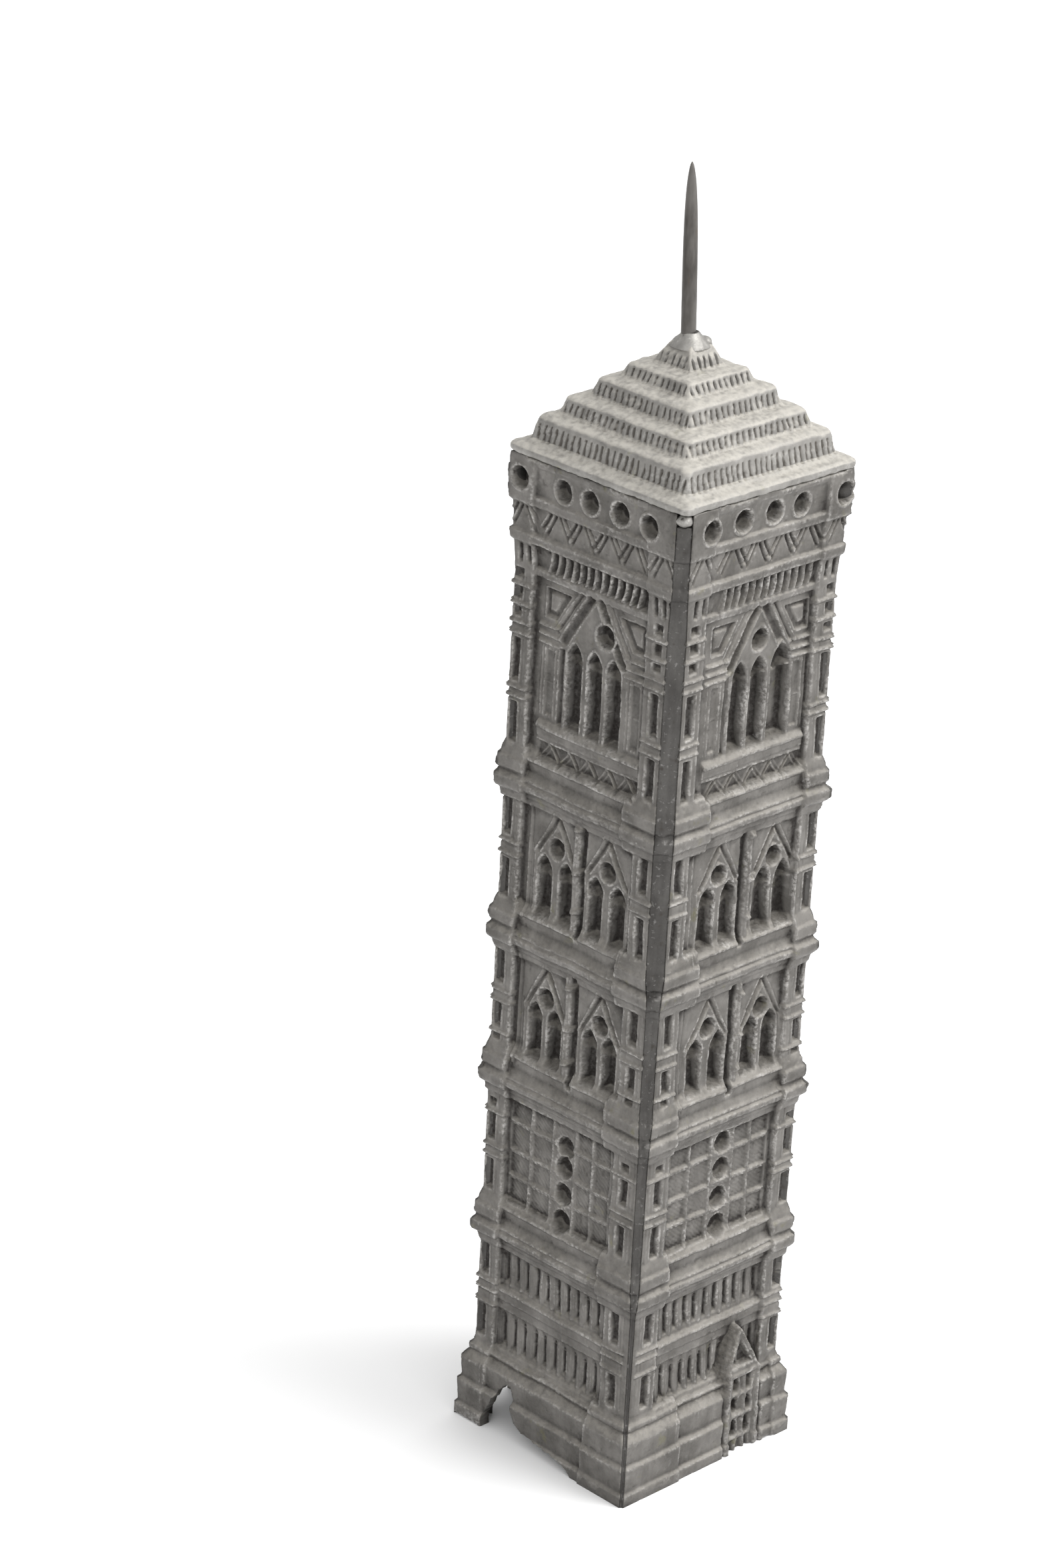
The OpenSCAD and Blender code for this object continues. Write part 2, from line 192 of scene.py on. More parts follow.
def disc(x, y, cx, cy, r):
    return np.hypot(x - cx, y - cy) - r


def lancet(x, y, cx, sill, spring, width):
    """A pointed opening: straight sides up to the springing, two arcs above it."""
    h = width / 2
    left = np.hypot(x - cx - h, y - spring) - width
    right = np.hypot(x - cx + h, y - spring) - width
    head = np.maximum(np.maximum(left, right), spring - y)
    return np.minimum(slab(x, y, cx - h, cx + h, sill, spring), head)


def bar(x, y, a, b, width):
    """A bar with round ends between two points."""
    ax, ay = a
    dx, dy = b[0] - ax, b[1] - ay
    t = np.clip(((x - ax) * dx + (y - ay) * dy) / (dx * dx + dy * dy), 0, 1)
    return np.hypot(x - ax - t * dx, y - ay - t * dy) - width / 2


def shape(x, y, corners):
    """A convex outline given by its corners, going round either way."""
    area = sum(a[0] * b[1] - b[0] * a[1] for a, b in zip(corners, corners[1:] + corners[:1]))
    turn = 1 if area > 0 else -1
    far = None
    for a, b in zip(corners, corners[1:] + corners[:1]):
        ex, ey = b[0] - a[0], b[1] - a[1]
        side = turn * ((x - a[0]) * ey - (y - a[1]) * ex) / math.hypot(ex, ey)
        far = side if far is None else np.maximum(far, side)
    return far


print("outlines ready", [f.__name__ for f in (slab, disc, lancet, bar, shape)])

# %% The levels of a casting, as distances out from the tower's axis
WALL = 11.35      # plain face of the wall
PIER = 12.05      # face of the corner piers
BACK = 9.35       # flat back of the casting
ROOT = 10.25      # where the groove for the corner solder begins
DEEP = 10.15      # floor of a window
PAST = 20         # further than any corner, for a moulding that runs right across
TORUS = [24.6, 43.3, 60.5, 78.4]      # heights of the round mouldings between the storeys
print("wall thickness", round(WALL - BACK, 2), "window depth", round(WALL - DEEP, 2))

# %% [markdown]
# ## Mouldings as profiles
# Plinth, cornices and gallery are strips of moulding that run right across a wall. Each is only
# a profile: a list of heights, and how far out the metal stands there. A curve swept along the
# wall would do too, but a profile can be read at any height, so the piers, the solder grooves
# and the solder itself can all ask it where the face is. The same profiles serve all the walls.

# %% Moulding profiles
FOOT_MIDDLE = [(0, 13.25), (1.3, 13.3), (1.5, 13.0), (1.75, 12.94), (4.4, 13.08), (4.7, 12.75),
               (5.0, 12.66), (7.5, 12.8), (7.9, 12.4), (8.5, 11.95), (8.7, 12.15), (9.05, 12.25),
               (9.2, 12.1), (9.25, 11.8), (9.9, 11.65), (10.1, 11.35)]
FOOT_PIER = [(0, 13.5), (1.3, 13.5), (1.55, 13.26), (1.8, 13.22), (4.45, 13.36), (4.75, 13.05),
             (5.0, 13.0), (7.4, 13.12), (7.9, 12.85), (8.5, 12.4), (8.75, 12.55), (9.2, 12.5),
             (9.4, 12.25), (10.0, 12.05)]
CORNICE_MIDDLE = [(-2.5, 0), (-2.25, 0.3), (-1.55, 0.4), (-1.4, 0.55), (-0.95, 0.6), (-0.65, 1.02),
                  (-0.4, 1.2), (0.1, 1.2), (0.25, 0.9), (0.35, 0.88), (0.42, 1.02), (0.7, 1.02),
                  (0.78, 0.85), (1.7, 0.5), (2.8, 0.55), (2.95, 0.8), (3.25, 0.8), (3.4, 0.55),
                  (4.0, 0.2), (4.4, 0)]
CORNICE_PIER = [(-2.3, 0), (-1.95, 0.2), (-1.2, 0.3), (-0.9, 0.68), (-0.6, 0.8), (0.3, 0.8),
                (0.6, 0.5), (1.0, 0.36), (1.35, 0.6), (2.5, 0.6), (2.8, 0.35), (3.2, 0.3),
                (4.2, 0)]
HEAD_MIDDLE = [(101.8, 11.35), (101.95, 11.68), (102.7, 11.72), (102.8, 11.4), (105.3, 11.7),
               (105.5, 12.25), (106.5, 12.38), (106.65, 12.02), (109.6, 12.12), (109.75, 12.42),
               (110.7, 12.5), (110.85, 12.2), (113.9, 12.4), (114.3, 12.62), (115, 12.65)]
HEAD_PIER = [(102.9, 12.05), (105.2, 12.2), (105.5, 12.5), (106.5, 12.6), (106.7, 12.32),
             (109.6, 12.42), (109.9, 12.76), (114.3, 12.8), (115, 12.72)]
# how far the walls stop short of the corner, at several heights: at the front left corner,
# where the last joint was closed from outside, and at the other three
NEAR_CORNER = [(0, 0.3), (23, 0.4), (26, 0.75), (43, 0.8), (46, 1.05), (60, 1.05), (63, 1.45),
               (78, 1.5), (101, 1.45), (107, 1.2), (115, 1.2)]
FAR_CORNER = [(0, 0.3), (115, 0.3)]


def profile(points, y, shift=0.0, base=0.0):
    heights = [p[0] + shift for p in points]
    outs = [p[1] + base for p in points]
    return np.interp(y, heights, outs, left=0, right=0)


def pier_profile(y):
    out = np.maximum(PIER, np.maximum(profile(FOOT_PIER, y), profile(HEAD_PIER, y)))
    for t in TORUS:
        out = np.maximum(out, profile(CORNICE_PIER, y, t, PIER))
    return out


print("profile points", sum(map(len, (FOOT_MIDDLE, FOOT_PIER, CORNICE_MIDDLE, HEAD_MIDDLE))))

# %% [markdown]
# ## The sheet of heights
# One wall face is a grid of points eight to the millimetre. The class below keeps the grid and
# the few ways a die sinker has of working it: leave something proud, cut a sinking, raise a thin
# ridge, draw a groove, and run a moulding. Every later cell only says where these go.

# %% The sheet
CELL = 0.125      # size of one grid cell


class Sheet:
    """One wall face. x runs to the right as seen from outside, y up, and d is how far out."""

    def __init__(self, seed, corners):
        self.seed = seed
        self.rng = np.random.default_rng(seed)
        columns = int(2 * HALF / CELL)
        rows = int(TALL / CELL)
        self.height = np.linspace(0, TALL, rows + 1)
        self.reach = pier_profile(self.height)
        self.ends = [self.reach - profile(corner, self.height) for corner in corners]
        share = np.linspace(0, 1, columns + 1)[None, :]
        self.u = -self.ends[0][:, None] * (1 - share) + self.ends[1][:, None] * share
        self.v = np.repeat(self.height[:, None], columns + 1, 1)
        # lines wander a little, as they do in a mould taken from a hand-cut master
        self.x = self.u + 0.11 * noise(self.u, self.v, 3.1, seed + 1)
        self.x += 0.035 * noise(self.u, self.v, 0.8, seed + 2)
        self.y = self.v + 0.1 * noise(self.u, self.v, 4.3, seed + 3)
        self.y += 0.035 * noise(self.u, self.v, 0.9, seed + 4)
        self.d = np.full_like(self.u, WALL)
        print("sheet", seed, "has", self.d.shape, "points")

    def jog(self, amount=0.06):
        """A small random slip of the hand."""
        return self.rng.uniform(-amount, amount)

    def proud(self, outline, level, flank=0.14):
        """A flat-topped shape standing out to a level."""
        m = np.clip(0.5 - outline / flank, 0, 1)
        self.d = np.maximum(self.d, self.d + m * (level - self.d))

    def cut(self, outline, level, slope=0.15):
        """A sinking with a sharp rim, whose sides slope inwards over a width."""
        m = np.clip(-outline / slope, 0, 1)
        self.d = self.d - m * np.maximum(self.d - level, 0)

    def ridge(self, a, b, width, amount):
        """A thin line of metal laid on whatever is there."""
        away = bar(self.x, self.y, a, b, width)
        self.d = self.d + amount * np.clip(-away / (0.42 * width), 0, 1)

    def groove(self, a, b, width, amount):
        """A thin line drawn into whatever is there."""
        self.ridge(a, b, width, -amount)

    def run(self, points, x0, x1, shift=0.0, base=0.0, flank=0.12):
        """A stretch of moulding from x0 to x1."""
        level = profile(points, self.y, shift, base)
        m = np.clip(0.5 - slab(self.x, self.y, x0, x1, -9, 200) / flank, 0, 1)
        self.d = np.maximum(self.d, self.d + m * (level - self.d))


# %% [markdown]
# ## Piers and mouldings
# The long horizontal mouldings and the corner piers come first, because everything else sits
# between them. A pier is a flat strip with a long sunk panel, a thin colonnette on either side
# of the panel, and small cushion-like bands at the storeys.

# %% Piers and mouldings
PIER_PANELS = [(10.6, 14.6), (18.4, 22.2), (29.0, 32.9), (35.2, 38.4), (39.3, 40.4),
               (46.8, 48.2), (48.9, 51.8), (54.3, 58.6), (64.6, 69.2), (71.9, 76.1),
               (82.6, 87.3), (89.6, 94.6), (97.0, 98.0), (98.9, 100.2), (101.1, 102.3)]
PIER_BANDS = [14.9, 16.5, 17.6, 33.2, 34.3, 38.6, 48.3, 52.1, 53.4, 69.6, 71.0,
              76.3, 87.7, 88.8, 95.0, 96.1, 98.3, 100.4]


SINK = 0.55           # depth of the panels in a pier
PIER_FOOT = 11        # the lines on a pier run between these heights
PIER_HEAD = 102


def piers(s, inner, sunk, blocks, feet):
    """inner: where the piers begin; sunk: middles of their panels; blocks and feet: ends of the
    corner blocks of each cornice and of the plinth."""
    x, y = s.x, s.y
    for m, edge, panel in zip((-1, 1), inner, sunk):
        far = m * PAST
        s.proud(slab(x, y, min(edge, far), max(edge, far), -5, TALL + 5), PIER)
        for lo, hi in PIER_PANELS:
            wide = 0.62 + s.jog(0.05)
            s.cut(slab(x, y, panel - wide, panel + wide, lo + s.jog(), hi + s.jog()),
                  PIER - SINK, 0.22)
        # a thin line beside the panel, and a pair of lines at its outer side
        for away, width, amount in ((-0.98, 0.2, 0.12), (1.0, 0.2, 0.1), (1.5, 0.22, 0.12)):
            u = panel + m * away
            s.groove((u, PIER_FOOT), (u, PIER_HEAD), width, amount)
        for z in PIER_BANDS:
            z += s.jog(0.08)
            lo, hi = sorted((edge - m * 0.05, edge + m * 3.5))
            s.cut(slab(x, y, lo, hi, z - 0.22, z + 0.02), PIER - 0.2, 0.1)
            s.proud(slab(x, y, lo, hi, z, z + 0.36), PIER + 0.22, 0.22)
    for t in TORUS:
        s.run(CORNICE_MIDDLE, -PAST, PAST, t + s.jog(0.05), WALL)
    s.run(FOOT_MIDDLE, -PAST, PAST)
    s.run(HEAD_MIDDLE, -PAST, PAST)
    for t, (a, b) in zip(TORUS, blocks):
        s.run(CORNICE_PIER, -PAST, a, t + s.jog(0.08), PIER)
        s.run(CORNICE_PIER, b, PAST, t + s.jog(0.08), PIER)
    # the plinth's corner blocks; an upright joint shows where each one ends
    s.run(FOOT_PIER, -PAST, feet[0])
    s.run(FOOT_PIER, feet[1], PAST)
    s.ridge((feet[0], 1.5), (feet[0], 4.6), 0.3, 0.08)
    s.ridge((feet[0] - 0.7, 5), (feet[0] - 0.7, 7.9), 0.3, 0.08)
    s.run(HEAD_PIER, -PAST, inner[0])
    s.run(HEAD_PIER, inner[1], PAST)


print("panels in a pier", len(PIER_PANELS), "bands", len(PIER_BANDS))

# %% [markdown]
# ## The five storeys
# Each storey is one function, so that the four walls can share it and still differ in their
# small measurements, as four hand-trimmed castings do. In all of them c is the middle of the
# storey, which on a hand-cut master is never quite the middle of the wall.
#
# The first storey is two rows of narrow blind bays with a ledge between them. A bay is a shallow
# pointed panel with a deeper slot in it, and a thin rib stands between two bays. An array of
# window objects would be too regular; a loop can let every bay slip and lean a little.

# %% First storey
BAYS = 10
BAY_PITCH = 1.57
BAY_ROWS = [(9.8, 14.0), (17.7, 21.9)]      # sill and springing of each row
MID_LEDGE = [(14.7, 0), (14.85, 0.2), (15.9, 0.2), (16.0, 0.36), (17.0, 0.38), (17.1, 0.52),
             (17.35, 0.5), (17.6, 0.2), (17.9, 0)]


def first_storey(s, c):
    x, y = s.x, s.y
    for sill, top in BAY_ROWS:
        for k in range(BAYS):
            u = c + (k - (BAYS - 1) / 2) * BAY_PITCH + s.jog(0.06)
            lean = 0.12 + s.jog(0.08)
            skew = x + lean * (y - sill) / 4
            s.cut(lancet(skew, y, u, sill + 0.5 + s.jog(), top + s.jog(0.12), 0.92),
                  WALL - 0.12, 0.1)
            s.cut(lancet(skew, y, u + 0.1, sill + 0.7 + s.jog(0.2), top - 0.2 + s.jog(0.3),
                         0.5 + s.jog(0.08)), WALL - 0.6 + s.jog(0.1), 0.2)
        for k in range(BAYS + 1):
            u = c + (k - BAYS / 2) * BAY_PITCH + s.jog(0.04)
            s.ridge((u, sill), (u - 0.12, top + 0.6), 0.24, 0.08 + s.jog(0.05))
            s.proud(disc(x, y, u, sill + 0.45, 0.22), WALL + 0.14 + s.jog(0.08), 0.2)
    s.run(MID_LEDGE, c - 8.4, c + 8.4, 0, WALL)


print("bays on a wall", BAYS * len(BAY_ROWS))

# %% [markdown]
# The second storey is a grid of shallow coffers in four rows, with a stack of four round niches
# in the middle. The floors of the coffers are hatched, as a graver leaves them; a sine wave bent
# by noise is enough for that.

# %% Second storey
COFFER_ROWS = [(28.4, 31.3), (31.7, 34.4), (34.8, 38.0), (38.4, 40.9)]
COFFER_COLUMNS = [(-8.0, -5.15), (-4.75, -1.75), (2.0, 4.35), (4.7, 7.2)]
COFFER_RIBS = [-4.95, -1.6, 1.85, 4.52]
NICHE_RADIUS = 1.32


def second_storey(s, c, rows, niches):
    x, y = s.x, s.y
    for lo, hi in rows:
        for a, b in COFFER_COLUMNS:
            s.cut(slab(x, y, c + a + s.jog(), c + b + s.jog(), lo, hi), WALL - 0.26, 0.12)
            s.ridge((c + a, lo + 0.05), (c + b, lo + 0.05), 0.3, 0.16)
        s.ridge((c - 1.4, lo), (c + 1.7, lo), 0.26, 0.1)
        s.cut(slab(x, y, c - 1.5, c + 1.7, lo + 0.2, hi), WALL - 0.14, 0.2)
    for z in niches:
        u = c + 0.2 + s.jog(0.1)
        s.cut(disc(x, y, u, z, NICHE_RADIUS), DEEP, 0.35)
    for a in COFFER_RIBS:
        s.ridge((c + a, rows[0][0]), (c + a, rows[-1][1]), 0.22, 0.1)
    # fine slanting strokes
    field = slab(x, y, c - 8, c + 7.2, rows[0][0], rows[-1][1])
    hatch = np.sin((x * 0.8 + y) * 11 + 2 * noise(x, y, 0.7, s.seed + 60))
    s.d += 0.035 * hatch * np.clip(-field / 0.2, 0, 1)


print("coffers on a wall", len(COFFER_ROWS) * len(COFFER_COLUMNS))

# %% [markdown]
# The third and fourth storeys each have two windows under gables, with a round shaft between
# them. A window is two pointed lights with lobed heads and a round eye above. On the real
# casting they are blind: the mould drew straight out, so each light is a trough whose sides
# slope in. One gable edge has a deep groove on the side that the graver leaned towards.

# %% Third and fourth storeys
SHAFT_HALF = 0.6      # half the thickness of the shaft between two windows
LOBE = 1.12           # radius of the lobed head of a light
EYE = 1.2             # radius of the round eye over two lights


def column(s, u, lo, hi, knobs, side):
    """A round shaft with a deep channel along one side."""
    x, y = s.x, s.y
    s.cut(slab(x, y, u + side * 0.85 - 0.38, u + side * 0.85 + 0.38, lo, hi), WALL - 0.5, 0.15)
    away = np.abs(x - u)
    inside = np.clip(0.5 - slab(x, y, u - SHAFT_HALF, u + SHAFT_HALF, lo, hi) / 0.12, 0, 1)
    shaft = WALL + 0.55 - 0.7 * (away / SHAFT_HALF) ** 2
    s.d = np.maximum(s.d, inside * shaft)
    s.groove((u + side * 0.2, lo), (u + side * 0.2, hi), 0.16, 0.08)
    for z in knobs:
        s.proud(slab(x, y, u - 0.15, u + 0.62, z - 0.2, z + 0.25), WALL + 0.85, 0.3)


def light(s, u, sill, spring, width, head):
    """One light: a trough with sloping sides, and a lobed head cut steeper and deeper."""
    x, y = s.x, s.y
    s.proud(lancet(x, y, u, sill, spring, width + 0.36), WALL + 0.08, 0.1)
    s.cut(lancet(x, y, u, sill, spring - 0.1, width), DEEP, 0.5)
    s.cut(disc(x, y, u, spring + 0.15, head), DEEP - 0.3, 0.25)


def twin_window(s, u, sill, spring, round_z, eaves, apex, dark, wide, gap):
    """Two lights, a round window over them and a gable. dark is the side of the deep groove."""
    x, y = s.x, s.y
    for m in (-1, 1):
        out = (u + m * 3.35, eaves - 0.2)
        s.ridge(out, (u + m * 0.35, apex + 0.9), 0.26, 0.16)
        deep = 0.62 if m == dark else 0.3
        cut_wide = 0.62 if m == dark else 0.5
        s.groove((u + m * 2.85, eaves + 0.1), (u + m * 0.2, apex + 0.1), cut_wide, deep)
        s.ridge((u + m * 2.4, eaves + 0.1), (u, apex - 0.5), 0.28, 0.2)
        s.ridge((u + m * 3.1, sill + 0.5), (u + m * 3.15, eaves - 0.3), 0.26, 0.14)
        s.groove((u + m * 3.45, sill + 0.5), (u + m * 3.5, eaves + 0.6), 0.24, 0.14)
    s.cut(shape(x, y, [(u - 1.5, eaves + 1.2), (u + 1.5, eaves + 1.2), (u, apex - 1.1)]),
          WALL - 0.22, 0.15)
    for m in (-1, 1):
        light(s, u + m * gap + s.jog(0.04), sill + s.jog(0.08), spring + s.jog(), wide, LOBE)
    s.proud(disc(x, y, u, round_z, EYE + 0.25), WALL + 0.06, 0.12)
    s.cut(disc(x, y, u, round_z, EYE), DEEP, 0.35)


def twin_storey(s, windows, heights, side, knobs, lo, hi, shaft):
    """windows: middle, width of a light and half the distance between the lights, for each."""
    sill, spring, round_z, eaves, apex = heights
    for u, wide, gap in windows:
        twin_window(s, u, sill, spring, round_z, eaves, apex, side, wide, gap)
    column(s, shaft, lo, hi, knobs, side)
    left, right = windows[0][0] - 4.1, windows[1][0] + 3.3
    s.ridge((left, lo), (left, hi), 0.24, 0.14)
    s.groove((left + 0.35, lo), (left + 0.35, hi), 0.24, 0.12)
    s.ridge((right, lo), (right, hi), 0.24, 0.1)


print("lights in a twin storey", 4)

# %% [markdown]
# The fifth storey is the tallest: a zigzag frieze at its foot, then a triple window under one
# steep gable, with narrow side panels and a sloping panel in each upper corner. Its left and
# right halves are drawn by one loop with m = -1 and m = 1, which is how a mirrored drawing is
# kept honest while the deep groove stays on one side only.

# %% Fifth storey
ZIGZAG = (81.9, 83.8)     # foot and top of the zigzag
ZIGZAG_STEP = 1.42
UPPER_LEDGE = [(83.8, 0), (83.95, 0.28), (84.2, 0.28), (84.3, 0.12), (84.4, 0.3), (85.3, 0.34),
               (85.4, 0.56), (85.7, 0.52), (86.3, 0)]
TALL_LIGHT = (86.1, 94.3)     # sill and springing


def fifth_storey(s, c, lights, dark, eye):
    x, y = s.x, s.y
    s.cut(slab(x, y, c - 7.3, c + 7.3, ZIGZAG[0], 83.9), WALL - 0.12, 0.1)
    for k in range(-5, 5):
        a = (c + k * ZIGZAG_STEP, ZIGZAG[0] if k % 2 else ZIGZAG[1])
        b = (c + (k + 1) * ZIGZAG_STEP, ZIGZAG[1] if k % 2 else ZIGZAG[0])
        s.ridge(a, b, 0.3, 0.22)
        s.ridge((a[0] + 0.62, a[1]), (b[0] + 0.62, b[1]), 0.24, 0.14)
        if (k % 2 == 1) == (dark < 0):
            s.groove((a[0] + 0.32, a[1]), (b[0] + 0.32, b[1]), 0.4, 0.5)
    s.run(UPPER_LEDGE, c - 7.6, c + 7.6, 0, WALL)
    for m in (-1, 1):
        a, b = sorted((c + m * 5.0, c + m * 7.4))
        for u in (a, a + 0.45, (a + b) / 2 - 0.2, (a + b) / 2 + 0.25, b - 0.45, b):
            s.ridge((u, 86.8), (u, 94.6), 0.22, 0.16)
        s.cut(slab(x, y, a + 0.6, b - 0.6, 87.0, 94.4), WALL - 0.16, 0.1)
        s.ridge((a + 0.6, 90.6), (b - 0.6, 90.6), 0.2, 0.14)
        s.ridge((a + 0.5, 94.3), (b - 0.5, 94.3), 0.26, 0.16)
        lo, hi = sorted((c + m * 4.6, c + m * 8))
        for z in (94.8, 95.7, 96.7):
            s.proud(slab(x, y, lo, hi, z, z + 0.34), WALL + 0.3, 0.22)
        corners = [(c + m * 7.3, 97.8), (c + m * 5.6, 97.8), (c + m * 3.5, 101.1), (c + m * 7.3, 101.1)]
        s.cut(shape(x, y, corners), WALL - 0.3, 0.15)
        s.proud(shape(x, y, [(c + m * 6.8, 98.6), (c + m * 6.0, 98.6), (c + m * 4.8, 100.5),
                             (c + m * 6.8, 100.5)]), WALL - 0.05, 0.2)
        for p, q in zip(corners, corners[1:] + corners[:1]):
            s.ridge(p, q, 0.24, 0.14)
        deep = 1.1 if m == dark else 0.3
        s.cut(bar(x, y, (c + m * 4.35, 95.9), (c + m * 0.75, 101.6), 1.0), WALL - deep, 0.2)
        s.ridge((c + m * 5.0, 96.0), (c + m * 1.4, 101.8), 0.3, 0.26)
        s.groove((c + m * 5.35, 96.6), (c + m * 2.0, 101.9), 0.34, 0.3)
        s.ridge((c + m * 5.75, 96.9), (c + m * 2.5, 101.9), 0.24, 0.16)
        s.ridge((c + m * 3.75, 95.6), (c, 101.4), 0.3, 0.2)
    for u, wide in lights:
        light(s, u, TALL_LIGHT[0] + s.jog(), TALL_LIGHT[1] + s.jog(), wide, 1.05)
    first = lights[0][0] - lights[0][1] / 2
    s.cut(slab(x, y, first - 1.1, first - 0.35, 86.2, 95.0), WALL - 0.4, 0.2)
    s.proud(disc(x, y, eye[0], eye[1], eye[2] + 0.35), WALL + 0.1, 0.2)
    s.cut(disc(x, y, eye[0], eye[1], eye[2]), DEEP - 0.1, 0.3)


print("sill and springing of the tall lights", TALL_LIGHT)

# %% [markdown]
# Above the storeys comes the head: a row of small leaning corbels, a band of chevrons made of
# short chisel strokes, and a gallery with blind round holes in raised rings.

# %% Head
CORBELS = 13
CORBEL_PITCH = 1.08
CHEVRONS = [-10.2, -5.6, -1.9, 1.9, 5.6, 10.2]
GALLERY = 112.5       # height of the middles of the round holes
HOLE_RADIUS = 1.25


def head(s, c, holes):
    x, y = s.x, s.y
    for k in range(CORBELS):
        u = c + (k - (CORBELS - 1) / 2) * CORBEL_PITCH
        skew = x - 0.4 * (y - 104) / 2.4 - 0.15 * np.sin((y - 103) * 1.2)
        s.cut(slab(skew, y, u + 0.2, u + 0.85, 102.9, 105.25), WALL - 0.15, 0.2)
        s.proud(slab(skew, y, u - 0.16, u + 0.16, 102.9, 105.4), WALL + 0.72, 0.16)
    for m in (-1, 1):
        for k in range(3):
            u = c + m * (8.6 + k * 1.2)
            s.cut(slab(x, y, u, u + 0.65, 103.0, 105.1), PIER - 0.45, 0.2)
    for u in CHEVRONS:
        level = (12.45 if abs(u) > 8 else 12.1) - 0.35
        for m in (-1, 1):
            for k in (0, 1):
                a = (c + u + m * (0.3 + 0.72 * k), 109.4)
                b = (c + u + m * (1.5 + 0.62 * k), 107.2 + 0.5 * k)
                s.cut(bar(x, y, a, b, 0.42), level, 0.15)
                s.ridge((a[0] + m * 0.36, a[1]), (b[0] + m * 0.36, b[1]), 0.2, 0.1)
    for u in holes:
        level = 12.8 if abs(u - c) > 8 else 12.35
        s.proud(disc(x, y, u, GALLERY, HOLE_RADIUS + 0.35), level + 0.1, 0.2)
        s.cut(disc(x, y, u, GALLERY + s.jog(), HOLE_RADIUS), level - 1.35, 0.3)


print("corbels", CORBELS, "chevrons", len(CHEVRONS))

# %% [markdown]
# ## The door
# The front wall alone has a door, cut through the plinth as a narrow porch with a steep gable.
# The leaf is a lattice of four wavy stiles and three rails, with six dark gaps between them. It
# is drawn last, over the plinth, because it stands in front of everything else there.

# %% The door
DOOR_HOLES = [(4.65, 9.1), (6.75, 8.9), (4.9, 6.2), (6.9, 6.1), (4.8, 3.4), (6.8, 3.3)]


def door(s):
    x, y = s.x, s.y
    # the porch; the left flank of its gable falls away into a deep groove
    s.proud(shape(x, y, [(3.2, -1), (8.3, -1), (8.3, 9.9), (7.9, 10.6), (4.85, 16.0), (4.45, 16.0),
                         (3.2, 10.4)]), 12.85, 0.14)
    s.cut(shape(x, y, [(1.8, 10.4), (3.15, 10.3), (4.4, 15.9)]), 10.7, 0.4)
    s.ridge((3.4, 10.4), (4.6, 15.6), 0.4, 0.2)
    s.cut(shape(x, y, [(3.7, 10.8), (7.1, 10.8), (4.95, 14.6)]), 12.1, 0.3)
    s.ridge((7.9, 10.5), (4.75, 15.7), 0.5, 0.3)
    s.ridge((4.95, 11.2), (4.95, 13.4), 0.3, 0.3)
    # lintel, opening, stiles and rails
    s.proud(slab(x, y, 3.2, 8.3, 9.6, 10.1), 13.05, 0.2)
    s.cut(slab(x, y, 3.75, 7.8, -1, 9.5), 12.45, 0.2)
    for k in range(4):
        wave = 0.16 * np.sin(y * 1.15 + k * 2.1)
        u = 4.0 + k * 1.17
        s.proud(slab(x + wave, y, u - 0.25, u + 0.25, -1, 9.4), 12.85, 0.3)
    for z in (1.6, 4.3, 7.2):
        s.proud(slab(x, y, 3.8, 7.7, z - 0.25 + s.jog(), z + 0.3), 12.9, 0.3)
    for u, top in DOOR_HOLES:
        s.cut(bar(x, y, (u, top), (u + 0.1, top - 1.1), 0.85), 11.7, 0.25)
    # jambs, with a shadow line outside each
    for u in (3.45, 8.05):
        s.proud(slab(x, y, u - 0.22, u + 0.22, -1, 10.4), 13.15, 0.15)
    s.cut(slab(x, y, 8.45, 8.85, -1, 10.2), 12.0, 0.2)
    s.cut(slab(x, y, 2.75, 3.1, -1, 9.4), 12.2, 0.2)


print("holes in the door", len(DOOR_HOLES))

# %% [markdown]
# ## From heights to a closed casting
# The drawn sheet is blurred a little, given the grain of the casting, and joined to a sawn
# mitre on either side and a flat back. The same heights also tell where grime settles and
# where light is painted: a place that lies lower than its surroundings is a cavity, darkened
# for grime and for painted shade; one that lies higher is an edge that hands polish, lightened
# for that wear and for a painted highlight; and one that faces up collects dust. A fine grid
# is far heavier than flat places need, so a Decimate modifier then thins it where nothing
# happens.

# %% Closing a wall
BUDGET = 186000       # triangles kept in a wall, with room below 200,000 for what the cuts add
